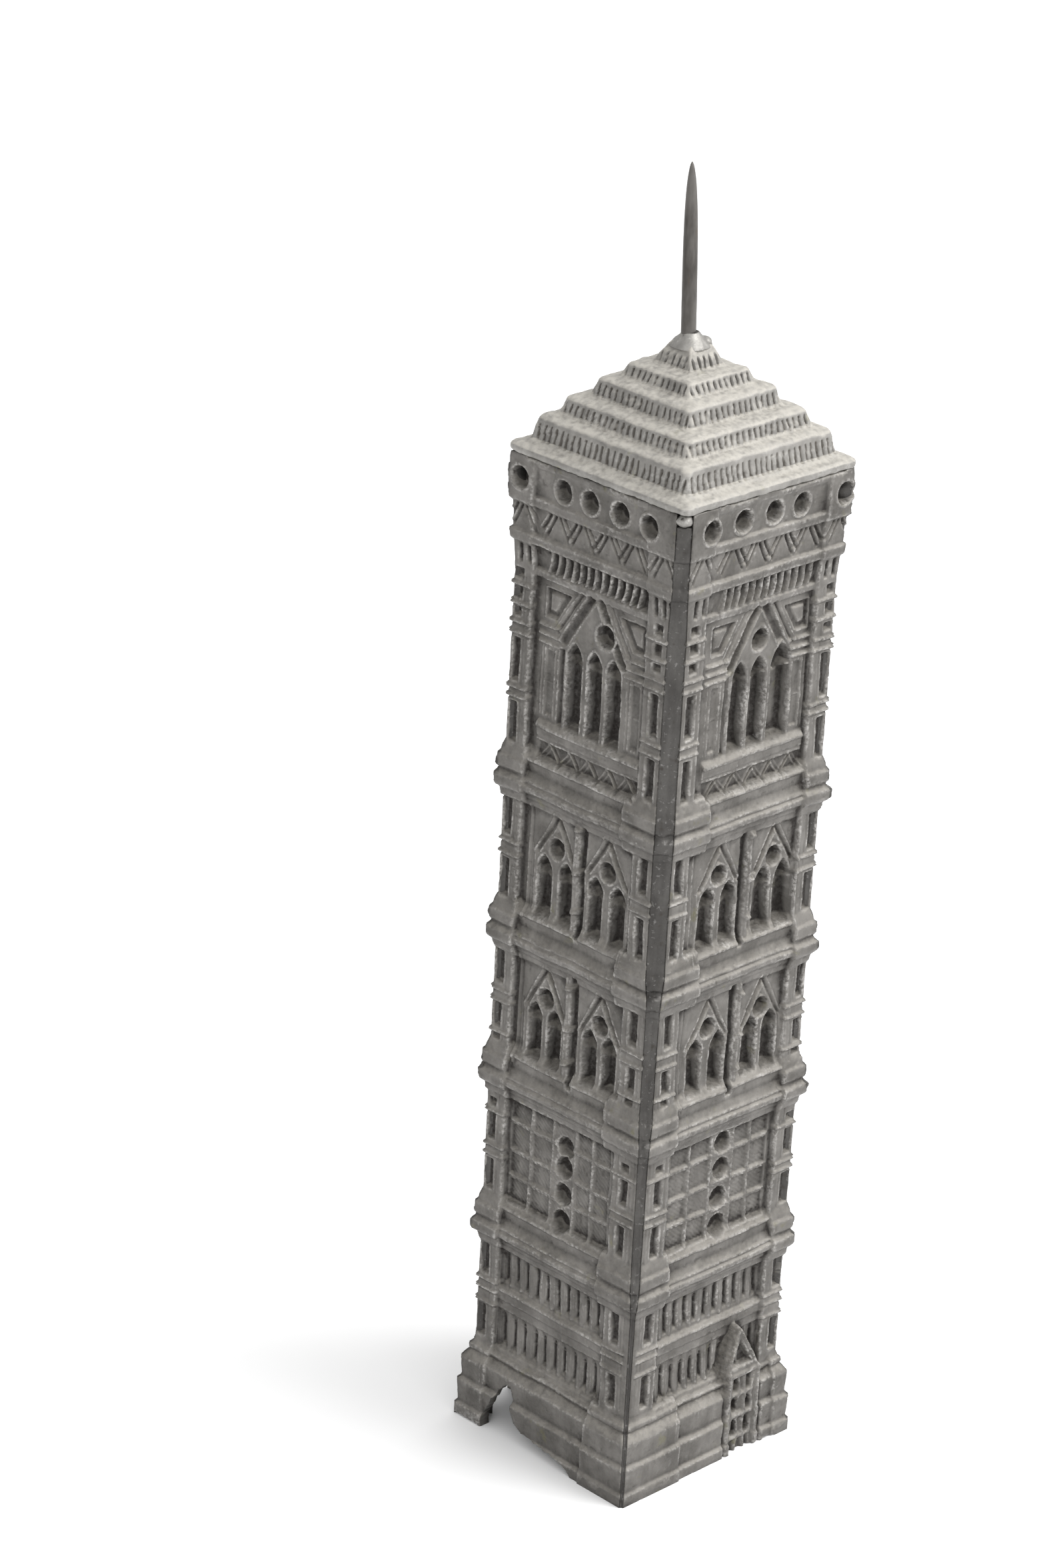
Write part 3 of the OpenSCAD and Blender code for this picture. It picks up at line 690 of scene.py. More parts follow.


def close_wall(name, s, outward, across):
    """Joins the drawn sheet to its mitres and its flat back, and thins the result."""
    s.d = blur(s.d, 0.5)
    s.d += 0.016 * rough(s.u, s.v, 0.9, s.seed + 20) + 0.008 * noise(s.u, s.v, 0.3, s.seed + 30)
    s.d -= 0.06 * ramp((noise(s.u, s.v, 0.5, s.seed + 40) - 0.68) * 6)
    s.d += 0.05 * ramp((noise(s.u, s.v, 0.6, s.seed + 50) - 0.74) * 8)
    limit = HALF - 0.02
    s.d = np.clip(s.d, BACK + 0.5, limit)
    rows, columns = s.d.shape
    # the outermost columns lie on the face of the solder groove
    left = s.ends[0] + s.d[:, 0] - s.reach
    right = s.ends[1] + s.d[:, -1] - s.reach
    s.u[:, 0] = -left
    s.u[:, -1] = right
    for k in range(1, 20):
        s.u[:, k] = np.maximum(s.u[:, k], 0.02 * k - left)
        s.u[:, -1 - k] = np.minimum(s.u[:, -1 - k], right - 0.02 * k)
    ring_u = np.concatenate([np.full((rows, 1), -BACK), np.full((rows, 1), -ROOT), s.u,
                             np.full((rows, 1), ROOT), np.full((rows, 1), BACK)], 1)
    ring_d = np.concatenate([np.full((rows, 1), BACK), np.full((rows, 1), ROOT), s.d,
                             np.full((rows, 1), ROOT), np.full((rows, 1), BACK)], 1)
    n = columns + 4
    up = np.repeat(s.height[:, None], n, 1)
    points = (ring_u[..., None] * np.array([*across, 0])
              + ring_d[..., None] * np.array([*outward, 0]) + up[..., None] * np.array([0, 0, 1]))
    points = points.reshape(-1, 3)
    first = (np.arange(rows - 1)[:, None] * n + np.arange(n)[None, :])
    nxt = (np.arange(rows - 1)[:, None] * n + (np.arange(n)[None, :] + 1) % n)
    quads = np.stack([first, nxt, nxt + n, first + n], -1).reshape(-1, 4)
    column_of = np.tile(np.arange(n), rows - 1)
    smooth = (column_of >= 2) & (column_of < n - 3)
    faces = quads.tolist()
    faces.append(list(range(n))[::-1])
    faces.append([(rows - 1) * n + k for k in range(n)])
    smooth = np.append(smooth, [False, False])
    obj = make_object(name, points, faces, smooth)
    thin = obj.modifiers.new("thin", "DECIMATE")
    thin.ratio = BUDGET / triangles(obj)
    apply_modifiers(obj)
    return obj


print("triangles allowed in a wall", BUDGET)


def grime_wear_and_painted_light(obj, s, outward, across):
    """Writes the cavity, edge and dust numbers that the pewter reads. The cavity number darkens
    hollows for grime and painted shade; the edge number lightens raised lines for wear and a
    painted highlight.
    """
    near = blur(s.d, 1.6)
    wide = blur(s.d, 6.5)
    cavity = np.clip((wide - s.d) / 0.5, 0, 1)
    edge = np.clip((s.d - near) / 0.065 - 0.15, 0, 1) * np.clip((s.d - wide) / 0.15 + 0.4, 0, 1)
    dust = np.clip(-np.gradient(s.d, axis=0) / CELL * 0.9, 0, 1)
    dust = blur(dust, 1.0)
    p = coordinates(obj)
    u = p[:, 0] * across[0] + p[:, 1] * across[1]
    d = p[:, 0] * outward[0] + p[:, 1] * outward[1]
    row = np.clip(np.round(p[:, 2] / TALL * (len(s.height) - 1)).astype(int), 0, len(s.height) - 1)
    part = (u + s.ends[0][row]) / (s.ends[0][row] + s.ends[1][row])
    col = np.clip(np.round(part * (s.d.shape[1] - 1)).astype(int), 0, s.d.shape[1] - 1)
    inner = d < s.d[row, col] - 0.4
    # the inner faces get the cavity darkening in full: grime and painted shade
    paint(obj, "cavity", np.where(inner, 0.5, cavity[row, col]))
    paint(obj, "edge", np.where(inner, 0, edge[row, col]))
    paint(obj, "dust", np.where(inner, 0, dust[row, col]))


# %% [markdown]
# ## Broken feet
# The foot of the left wall and of the back wall is broken through. A ragged prism is cut from
# the closed casting with a Boolean, so the broken edge shows the true thickness of the metal.

# %% Cutting a ragged hole
CUT_SCALE = 1000      # the cut is worked out at this many times the size, where it is steadier


def ragged_cut(obj, outline, outward, across, seed, reach=(8.0, 15.0)):
    """Cuts an outline of (along the wall, up) between two distances from the tower's axis."""
    rng = np.random.default_rng(seed)
    ring = []
    for (a, b), (c, d) in zip(outline, outline[1:] + outline[:1]):
        steps = max(1, int(math.hypot(c - a, d - b) / 0.4))
        for k in range(steps):
            t = k / steps
            ring.append((a + (c - a) * t + rng.uniform(-0.08, 0.08),
                         b + (d - b) * t + rng.uniform(-0.08, 0.08)))
    points = []
    for depth, grow in ((reach[0], -0.12), (sum(reach) / 2, 0.05), (reach[1], 0.1)):
        for u, z in ring:
            z = z + (grow if z > 0 else 0)
            points.append((across[0] * u + outward[0] * depth,
                           across[1] * u + outward[1] * depth, z))
    n = len(ring)
    faces = [list(range(n))[::-1], [2 * n + k for k in range(n)]]
    for level in (0, 1):
        for k in range(n):
            a, b = level * n + k, level * n + (k + 1) % n
            faces.append([a, b, b + n, a + n])
    cutter = make_object("cutter", points, faces, False)
    work = bmesh.new()
    work.from_mesh(cutter.data)
    bmesh.ops.recalc_face_normals(work, faces=work.faces)
    work.to_mesh(cutter.data)
    work.free()
    grow = Matrix.Scale(CUT_SCALE, 4)
    cutter.data.transform(grow)
    obj.data.transform(grow)
    cut = obj.modifiers.new("cut", "BOOLEAN")
    cut.operation = "DIFFERENCE"
    cut.solver = "EXACT"
    cut.object = cutter
    apply_modifiers(obj)
    obj.data.transform(grow.inverted())
    bpy.data.objects.remove(cutter)
    print(obj.name, "cut,", triangles(obj), "triangles")


print("cuts are made at", CUT_SCALE, "times the size")

# %% [markdown]
# ## The four walls
# Every wall rides on the one body and stands for its CAD node. The door is in the front wall
# only, and the other walls carry the same storeys with their own small differences. Each call
# below lists one wall: where its piers begin, where each storey's middle is, and where its
# windows and holes stand. The numbers of the back and right walls are guesses, made like the
# other two.

# %% Building the walls
# the way each wall faces, and the way along it
SIDES = {"front_wall": ((0, -1), (1, 0)), "left_wall": ((-1, 0), (0, -1)),
         "back_wall": ((0, 1), (-1, 0)), "right_wall": ((1, 0), (0, 1))}
# heights in a twin storey: sill, springing, eye, foot and top of the gables
THIRD = (46.9, 51.9, 54.5, 53.0, 57.6)
FOURTH = (64.0, 69.4, 72.3, 71.2, 75.5)
NOTCH = [(-8.9, -1), (-9.1, 1.4), (-8.0, 3.6), (-7.0, 5.4), (-5.7, 6.6), (-5.2, 6.5), (-4.7, 5.1),
         (-4.9, 3.8), (-4.2, 2.4), (-3.0, 1.7), (0.0, 1.4), (3.0, 1.2), (4.6, 0.6), (6.2, -1)]
GAP = [(4.8, -1), (5.3, 2.6), (5.2, 4.6), (6.2, 6.0), (7.8, 5.9), (8.8, 4.4), (9.3, 2), (9.4, -1)]
BEHIND = {"left_wall": (-10.6, -3.9), "back_wall": (3.6, 10.6)}   # where the foot is thinner
THINNED = (BACK - 1, 12.0)      # the metal taken away from behind it


def wall(name, seed, corners, inner, sunk, blocks, feet, centres, niches, third, fourth, shaft,
         lights, eye, holes, side):
    """corners: solder groove at either end; inner, sunk, blocks, feet: see piers(); centres:
    middles of the first, second and top storeys; niches, holes: their middles; third, fourth:
    middle, light width and half spacing of each window; lights: middle and width; eye: middle,
    height and radius; side: which flank of a gable has the deep groove."""
    outward, across = SIDES[name]
    s = Sheet(seed, corners)
    first_storey(s, centres[0])
    piers(s, inner, sunk, blocks, feet)
    second_storey(s, centres[1], COFFER_ROWS, niches)
    twin_storey(s, third, THIRD, side, (57.2, 52.4, 48.4), 45.6, 58.6, shaft)
    twin_storey(s, fourth, FOURTH, side, (75.8, 70.8, 66.3), 63.2, 76.3, shaft)
    fifth_storey(s, centres[2], lights, side, eye)
    head(s, centres[2], holes)
    if name == "front_wall":
        door(s)
    obj = close_wall(name + "_casting", s, outward, across)
    if name == "left_wall":
        ragged_cut(obj, NOTCH, outward, across, 5)
    if name == "back_wall":
        ragged_cut(obj, GAP, outward, across, 6)
    if name in BEHIND:
        a, b = BEHIND[name]
        hollow = [(a, -1), (a, 6.9), (a + 0.8, 7.6), (b - 0.8, 7.6), (b, 6.9), (b, -1)]
        ragged_cut(obj, hollow, outward, across, 7, THINNED)
    grime_wear_and_painted_light(obj, s, outward, across)
    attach(obj, "root")
    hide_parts(name)
    print(name, triangles(obj), "triangles")
    return obj


walls = [
    wall("front_wall", seed=11, corners=(NEAR_CORNER, FAR_CORNER),
         inner=(-7.8, 8.9), sunk=(-9.4, 11.0),
         blocks=[(-7.2, 9.1), (-7.4, 9.1), (-5.6, 9.0), (-5.6, 8.9)], feet=(-4.4, 10.6),
         centres=(0.9, 1.0, 1.1), niches=(29.4, 32.7, 36.2, 39.4),
         third=((-2.7, 2.3, 1.75), (5.6, 2.4, 1.55)),
         fourth=((-2.55, 2.4, 1.65), (5.85, 2.6, 1.6)), shaft=1.8,
         lights=[(-1.5, 2.4), (1.4, 2.5), (4.8, 3.2)], eye=(1.3, 98.2, 1.2),
         holes=(-8.7, -3.6, 1.0, 5.1, 11.2), side=-1),
    wall("left_wall", seed=23, corners=(FAR_CORNER, NEAR_CORNER),
         inner=(-9.0, 7.6), sunk=(-11.0, 9.3),
         blocks=[(-8.8, 6.6), (-8.8, 6.2), (-8.8, 6.4), (-8.6, 6.2)], feet=(-9.2, 6.5),
         centres=(-0.9, -0.5, -0.2), niches=(29.2, 32.4, 35.6, 38.1),
         third=((-4.3, 2.2, 1.5), (3.95, 2.2, 1.5)),
         fourth=((-3.95, 2.3, 1.65), (3.65, 2.2, 1.65)), shaft=-0.8,
         lights=[(-2.9, 2.3), (0.1, 2.2), (2.9, 2.2)], eye=(1.4, 98.2, 1.35),
         holes=(-10.8, -4.9, -1.0, 3.4, 7.9), side=1),
    wall("back_wall", seed=37, corners=(FAR_CORNER, FAR_CORNER),
         inner=(-8.3, 8.4), sunk=(-10.2, 10.3), blocks=[(-8.3, 8.4)] * 4, feet=(-8.2, 8.4),
         centres=(0.1, 0.1, 0.1), niches=(29.4, 32.6, 36.0, 39.2),
         third=((-4.1, 2.2, 1.5), (4.2, 2.2, 1.5)),
         fourth=((-4.0, 2.3, 1.55), (4.1, 2.3, 1.55)), shaft=0.1,
         lights=[(-2.8, 2.3), (0.1, 2.3), (3.0, 2.3)], eye=(0.1, 98.2, 1.25),
         holes=(-10.2, -4.6, 0.1, 4.7, 10.1), side=-1),
    wall("right_wall", seed=41, corners=(FAR_CORNER, FAR_CORNER),
         inner=(-8.4, 8.3), sunk=(-10.3, 10.2), blocks=[(-8.4, 8.3)] * 4, feet=(-8.4, 8.2),
         centres=(-0.1, 0.0, 0.0), niches=(29.3, 32.6, 35.9, 39.3),
         third=((-4.1, 2.2, 1.5), (4.1, 2.2, 1.5)),
         fourth=((-4.1, 2.3, 1.55), (4.0, 2.3, 1.55)), shaft=-0.1,
         lights=[(-2.9, 2.3), (0.0, 2.3), (2.9, 2.3)], eye=(0, 98.3, 1.25),
         holes=(-10.1, -4.7, -0.1, 4.5, 10.2), side=1),
]

# %% [markdown]
# ## Materials
# Old pewter is dull and grey. Its raised lines are polished pale by handling and carry a
# painted highlight as well, its hollows hold nearly black grime that is also painted shade,
# and pale beige dust lies on every ledge. The three numbers painted on the walls say where,
# and noise breaks up their borders. The pattern reads Object coordinates, which are metres
# here, so a noise scale of 1000 means lumps of a millimetre.

# %% Node helpers
def new_material(name):
    """A new material, its nodes and its links."""
    mat = bpy.data.materials.new(name)
    mat.use_nodes = True
    return mat, mat.node_tree.nodes, mat.node_tree.links


def node(nodes, kind, **settings):
    made = nodes.new(kind)
    for key, value in settings.items():
        setattr(made, key, value)
    return made


def grain(nodes, links, scale, detail=3.0, stretch=(1, 1, 1), rough_share=0.55):
    """Noise over the piece itself; a stretch below one draws it out along that axis."""
    place = node(nodes, "ShaderNodeTexCoord")
    turn = node(nodes, "ShaderNodeMapping")
    turn.inputs["Scale"].default_value = stretch
    made = node(nodes, "ShaderNodeTexNoise")
    made.inputs["Scale"].default_value = scale
    made.inputs["Detail"].default_value = detail
    made.inputs["Roughness"].default_value = rough_share
    links.new(place.outputs["Object"], turn.inputs["Vector"])
    links.new(turn.outputs["Vector"], made.inputs["Vector"])
    return made.outputs["Fac"]


def between(nodes, links, value, low, high, out_low=0.0, out_high=1.0):
    """Stretches the range low..high of a value to out_low..out_high."""
    made = node(nodes, "ShaderNodeMapRange")
    for key, number in (("From Min", low), ("From Max", high), ("To Min", out_low),
                        ("To Max", out_high)):
        made.inputs[key].default_value = number
    links.new(value, made.inputs["Value"])
    return made.outputs["Result"]


def times(nodes, links, a, b, kind="MULTIPLY"):
    made = node(nodes, "ShaderNodeMath", operation=kind)
    for socket, value in zip(made.inputs, (a, b)):
        if isinstance(value, (int, float)):
            socket.default_value = value
        else:
            links.new(value, socket)
    return made.outputs[0]


def mix(nodes, links, share, a, b):
    """Colour a where share is 0 and b where it is 1."""
    made = node(nodes, "ShaderNodeMix", data_type="RGBA")
    links.new(share, made.inputs[0])
    for socket, value in ((made.inputs[6], a), (made.inputs[7], b)):
        if isinstance(value, tuple):
            socket.default_value = (*value, 1)
        else:
            links.new(value, socket)
    return made.outputs[2]


def number(nodes, name):
    """A number painted on the mesh."""
    return node(nodes, "ShaderNodeAttribute", attribute_name=name).outputs["Fac"]


print("node helpers ready")


# %% Pewter
def pewter(name, dark, light, dust_colour, dust_share, hollow, pale_tone, metal=0.75):
    """dark and light: the two tones of the metal; hollow: the grime in its cavities, which is
    also painted shade; pale_tone: its polished edges, which are also a painted highlight; metal:
    how metallic it is where it is clean."""
    mat, nodes, links = new_material(name)
    shader = nodes["Principled BSDF"]
    cavity, edge, dust = (number(nodes, k) for k in ("cavity", "edge", "dust"))
    clouds = grain(nodes, links, 260, 4)
    fine = grain(nodes, links, 2600, 4)
    streak = grain(nodes, links, 900, 3, (1, 1, 0.18))
    colour = mix(nodes, links, between(nodes, links, clouds, 0.35, 0.65), dark, light)
    colour = mix(nodes, links, between(nodes, links, streak, 0.4, 0.75, 0, 0.35), colour,
                 tuple(0.6 * k for k in dark))
    # a few faint greenish stains
    stain = between(nodes, links, grain(nodes, links, 420, 3), 0.66, 0.74, 0, 0.45)
    colour = mix(nodes, links, stain, colour, tuple(k * s for k, s in zip(light, (0.85, 0.85, 0.5))))
    # cavities are darkened towards the hollow colour: grime, and painted shade as well
    darkening = times(nodes, links, between(nodes, links, cavity, 0.1, 0.5),
                  between(nodes, links, fine, 0.3, 0.6, 0.75, 1))
    colour = mix(nodes, links, darkening, colour, hollow)
    # handling has polished some stretches of an edge more than others; the pale edges are also a
    # painted highlight
    patches = between(nodes, links, grain(nodes, links, 330, 3), 0.38, 0.66, 0.25, 1)
    polish_and_highlight = times(nodes, links, edge, between(nodes, links, fine, 0.4, 0.62))
    polish_and_highlight = times(nodes, links, polish_and_highlight, patches)
    colour = mix(nodes, links, times(nodes, links, polish_and_highlight, 0.85), colour, pale_tone)
    powder = times(nodes, links, between(nodes, links, dust, 0.12, 0.55),
                   between(nodes, links, grain(nodes, links, 1500, 3), 0.3, 0.6, 0.35, 1))
    powder = times(nodes, links, powder, dust_share)
    colour = mix(nodes, links, powder, colour, dust_colour)
    links.new(colour, shader.inputs["Base Color"])
    dull = times(nodes, links, darkening, powder, "MAXIMUM")
    links.new(between(nodes, links, dull, 0, 1, metal, 0.05), shader.inputs["Metallic"])
    roughness = between(nodes, links, fine, 0.3, 0.7, 0.38, 0.6)
    roughness = times(nodes, links, roughness, times(nodes, links, dull, 0.35), "ADD")
    links.new(roughness, shader.inputs["Roughness"])
    bump = node(nodes, "ShaderNodeBump")
    bump.inputs["Strength"].default_value = 0.5
    bump.inputs["Distance"].default_value = 0.00006
    height = times(nodes, links, fine, times(nodes, links, streak, 0.6), "ADD")
    links.new(height, bump.inputs["Height"])
    links.new(bump.outputs["Normal"], shader.inputs["Normal"])
    return mat


# the hollow colours are grime and painted shade in cavities; the pale edge colours are polish and a
# painted highlight
PEWTER = pewter("pewter", (0.104, 0.098, 0.09), (0.186, 0.177, 0.165), (0.29, 0.272, 0.24), 0.5,
                (0.0125, 0.0095, 0.0075), (0.52, 0.505, 0.485))
ROOF_PEWTER = pewter("roof_pewter", (0.19, 0.183, 0.17), (0.29, 0.28, 0.262), (0.42, 0.4, 0.36), 0.9,
                     (0.07, 0.062, 0.052), (0.5, 0.49, 0.47), 0.5)
for piece in walls:
    piece.data.materials.clear()
    piece.data.materials.append(PEWTER)
print("walls painted")

# %% [markdown]
# ## The roof
# The roof casting is a square pyramid in steps. Every step is a steep band of teeth with a
# smooth strip above it and a narrow dusty tread on top. The body is a skin wrapped round the
# pyramid; the cuts between the teeth, which repeat all the way round, are filed into it with
# Geometry Nodes. Rows of tooth objects would stand on the skin; a file leaves them part of it.

# %% Roof profile and skin
ROOF_PROFILE = [(9.3, 115.0), (12.5, 115.0), (12.85, 115.12), (12.95, 115.4), (12.9, 115.8),
                (12.6, 116.05), (12.0, 116.2), (11.75, 116.35), (11.62, 116.5), (11.42, 116.6),
                (11.15, 117.8), (10.9, 118.75), (10.72, 119.0), (10.3, 119.15), (9.62, 119.3),
                (9.47, 119.5), (9.15, 120.4), (8.98, 120.95), (8.8, 121.15), (8.3, 121.3),
                (7.32, 121.45), (7.18, 121.6), (6.85, 122.6), (6.68, 123.2), (6.5, 123.4),
                (6.0, 123.55), (5.16, 123.72), (5.02, 123.9), (4.7, 124.6), (4.52, 125.05),
                (4.36, 125.2), (3.8, 125.32), (2.9, 125.42), (2.63, 125.55), (2.2, 126.5),
                (1.75, 127.25), (1.45, 127.7), (1.2, 127.88), (0.78, 127.9), (0.78, 124.0)]
BANDS = [(116.5, 118.35), (119.45, 120.75), (121.55, 122.95), (123.85, 124.9), (125.5, 126.7)]


def along_profile(step):
    points = np.array(ROOF_PROFILE)
    lengths = np.hypot(*np.diff(points, axis=0).T)
    total = np.concatenate([[0], np.cumsum(lengths)])
    t = np.linspace(0, total[-1], int(total[-1] / step))
    return np.interp(t, total, points[:, 0]), np.interp(t, total, points[:, 1])


def roof_skin():
    """Rings of points up the profile, closed underneath by a hollow."""
    half, height = along_profile(0.13)
    per_side = 118      # points of a ring on each side
    t = np.linspace(-1, 1, per_side, endpoint=False)
    points, teeth, run = [], [], []
    for h, z in zip(half, height):
        corner = min(0.9, h * 0.12)
        for k in range(4):
            a = k * math.pi / 2
            # the corners are round in plan: half of each arc belongs to each side
            over = np.clip(np.abs(t * h) - (h - corner), 0, corner) / corner * math.pi / 4
            x = np.where(over > 0, np.sign(t) * (h - corner + corner * np.sin(over)), t * h)
            y = -h + corner * (1 - np.cos(over))
            px = x * math.cos(a) - y * math.sin(a)
            py = x * math.sin(a) + y * math.cos(a)
            points.append(np.stack([px, py, np.full_like(px, z)], 1))
            here = sum(ramp((z - lo) / 0.25 + 0.2) * ramp((hi - z) / 0.25 + 0.2) for lo, hi in BANDS)
            near_corner = ramp((h - np.abs(x)) / 0.5)
            teeth.append(here * near_corner)
            run.append(x + 40 * k)      # each side starts its count elsewhere
    n = 4 * per_side
    points = np.concatenate(points)
    faces = []
    for i in range(len(half) - 1):
        for j in range(n):
            a, b = i * n + j, i * n + (j + 1) % n
            faces.append((a, b, b + n, a + n))
    top = (len(half) - 1) * n
    faces.append([top + j for j in range(n)])
    # the hollow underneath: a plain slope up to a small flat ceiling
    base = len(points)
    ring = points[:n].copy()
    ceiling = ring * np.array([1.6 / 9.3, 1.6 / 9.3, 1])
    ceiling[:, 2] = 121.5
    points = np.concatenate([points, ceiling])
    for j in range(n):
        a, b = j, (j + 1) % n
        faces.append((b, a, base + a, base + b))
    faces.append([base + j for j in range(n)][::-1])
    obj = make_object("roof_casting", points, faces, True)
    extra = np.zeros(n)
    paint(obj, "teeth", np.concatenate([*teeth, extra]))
    paint(obj, "run", np.concatenate([*run, extra]))
    return obj


roof = roof_skin()
print("roof skin", triangles(roof), "triangles")

# %% [markdown]
# The tree below reads two numbers that the skin carries: how much of a cut may be made here,
# and how far along the side this point is. Its named inputs are the pitch of the teeth, the
# depth of the cuts and the roughness of the casting, so it would roof another tower as well.

# %% A tree of Geometry Nodes for the teeth
class Tree:
    """A small hand for wiring Geometry Nodes."""

    def __init__(self, name, inputs):
        self.group = bpy.data.node_groups.new(name, "GeometryNodeTree")
        face = self.group.interface
        face.new_socket("Geometry", in_out="INPUT", socket_type="NodeSocketGeometry")
        self.ids = {}
        for label, value in inputs.items():
            kind = "NodeSocketMaterial" if value is None else "NodeSocketFloat"
            made = face.new_socket(label, in_out="INPUT", socket_type=kind)
            if value is not None:
                made.default_value = value
            self.ids[label] = made.identifier
        face.new_socket("Geometry", in_out="OUTPUT", socket_type="NodeSocketGeometry")
        self.start = self.add("NodeGroupInput")
        self.end = self.add("NodeGroupOutput")

    def add(self, kind, **settings):
        made = self.group.nodes.new(kind)
        for key, value in settings.items():
            setattr(made, key, value)
        return made

    def link(self, a, b):
        self.group.links.new(a, b)

    def given(self, label):
        return self.start.outputs[label]

    def attribute(self, name):
        made = self.add("GeometryNodeInputNamedAttribute", data_type="FLOAT")
        made.inputs["Name"].default_value = name
        return made.outputs["Attribute"]

    def math(self, operation, *values):
        made = self.add("ShaderNodeMath", operation=operation)
        for socket, value in zip(made.inputs, values):
            if isinstance(value, (int, float)):
                socket.default_value = value
            else:
                self.link(value, socket)
        return made.outputs[0]

    def noise(self, scale, seed):
        made = self.add("ShaderNodeTexNoise", noise_dimensions="4D")
        made.inputs["W"].default_value = seed
        made.inputs["Scale"].default_value = scale
        made.inputs["Detail"].default_value = 2
        return made.outputs["Fac"]

    def finish(self, geometry):
        real = self.add("GeometryNodeRealizeInstances")
        paint_it = self.add("GeometryNodeSetMaterial")
        self.link(geometry, real.inputs["Geometry"])
        self.link(real.outputs["Geometry"], paint_it.inputs["Geometry"])
        self.link(self.given("Material"), paint_it.inputs["Material"])
        self.link(paint_it.outputs["Geometry"], self.end.inputs[0])

    def apply(self, obj, values):
        step = obj.modifiers.new("nodes", "NODES")
        step.node_group = self.group
        for label, value in values.items():
            step[self.ids[label]] = value
        apply_modifiers(obj)
        print(obj.name, triangles(obj), "triangles after its tree")


def push_out(tree, geometry, distance):
    """Moves every point along its normal, inward where the distance is below zero."""
    move = tree.add("GeometryNodeSetPosition")
    normal = tree.add("GeometryNodeInputNormal")
    scaled = tree.add("ShaderNodeVectorMath", operation="SCALE")
    tree.link(normal.outputs[0], scaled.inputs[0])
    tree.link(distance, scaled.inputs["Scale"])
    tree.link(geometry, move.inputs["Geometry"])
    tree.link(scaled.outputs[0], move.inputs["Offset"])
    return move.outputs["Geometry"]


teeth = Tree("teeth round a roof", {"Pitch": 0.84, "Cut Depth": 0.0003,
                                    "Roughness": 0.00012, "Material": None})
wander = teeth.math("MULTIPLY", teeth.math("SUBTRACT", teeth.noise(420, 3.0), 0.5), 0.9)
phase = teeth.math("DIVIDE", teeth.math("ADD", teeth.attribute("run"), wander),
                   teeth.given("Pitch"))
wave = teeth.math("SINE", teeth.math("MULTIPLY", phase, 2 * math.pi))
# a file cut between two teeth is narrower than the tooth, so only the low part of the wave counts
filed = teeth.math("MINIMUM", teeth.math("ADD", wave, 0.25), 0.0)
uneven = teeth.math("ADD", teeth.math("MULTIPLY", teeth.noise(520, 8.0), 2.4), -0.25)
uneven = teeth.math("MAXIMUM", uneven, 0.12)
filed = teeth.math("MULTIPLY", teeth.math("MULTIPLY", filed, uneven), teeth.attribute("teeth"))
filed = teeth.math("MULTIPLY", filed, teeth.given("Cut Depth"))
lumps = teeth.math("SUBTRACT", teeth.noise(650, 5.0), 0.5)
lumps = teeth.math("MULTIPLY", lumps, teeth.given("Roughness"))
moved = push_out(teeth, teeth.start.outputs[0], teeth.math("ADD", filed, lumps))
teeth.finish(moved)
teeth.apply(roof, {"Pitch": 0.84, "Cut Depth": 0.00042, "Roughness": 0.0004,
                   "Material": ROOF_PEWTER})

# %% Keeping the roof inside the CAD box and its foot flat, then its grime and painted shade, its worn edges with a painted highlight, and its dust
def normals(obj):
    flat = np.empty(len(obj.data.vertices) * 3)
    obj.data.vertices.foreach_get("normal", flat)
    return flat.reshape(-1, 3)


def hollows(obj, rounds):
    """How far each point lies below its neighbours, in millimetres, after some smoothing."""
    p = coordinates(obj)
    edges = np.empty(len(obj.data.edges) * 2, int)
    obj.data.edges.foreach_get("vertices", edges)
    a, b = edges.reshape(-1, 2).T
    count = np.bincount(np.concatenate([a, b]), minlength=len(p))[:, None]
    soft = p.copy()
    for _ in range(rounds):
        total = np.zeros_like(soft)
        for axis in range(3):
            total[:, axis] = (np.bincount(a, soft[b, axis], len(p))
                              + np.bincount(b, soft[a, axis], len(p)))
        soft = 0.5 * soft + 0.5 * total / np.maximum(count, 1)
    return ((soft - p) * normals(obj)).sum(1)


p = coordinates(roof)
p[:, :2] = np.clip(p[:, :2], -HALF + 0.4, HALF - 0.4)
p[:, 2] = np.maximum(p[:, 2], TALL)
place(roof, p)
low = hollows(roof, 14)
up = normals(roof)[:, 2]
# hollows darkened for grime and painted shade, ridges lightened for wear and a painted highlight
paint(roof, "cavity", np.clip(low / 0.16, 0, 1))
paint(roof, "edge", np.clip(-low / 0.14, 0, 1))
paint(roof, "dust", np.clip(up * 1.5 - 0.35, 0, 1))
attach(roof, "root")
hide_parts("roof_cap")
print("points of the roof in hollows", int((low > 0.08).sum()), "of", len(low))

# %% [markdown]
# ## Solder
# The castings are joined with soft solder, run down each corner into a groove. At the near
# corner the solder is a thin line at the foot and widens upward to a flat strip; at the other
# three it stays a thin line. It swells where the mouldings meet. A strip is a grid of points across and up; a tree of nodes then gives it
# the lumps of metal that was molten.

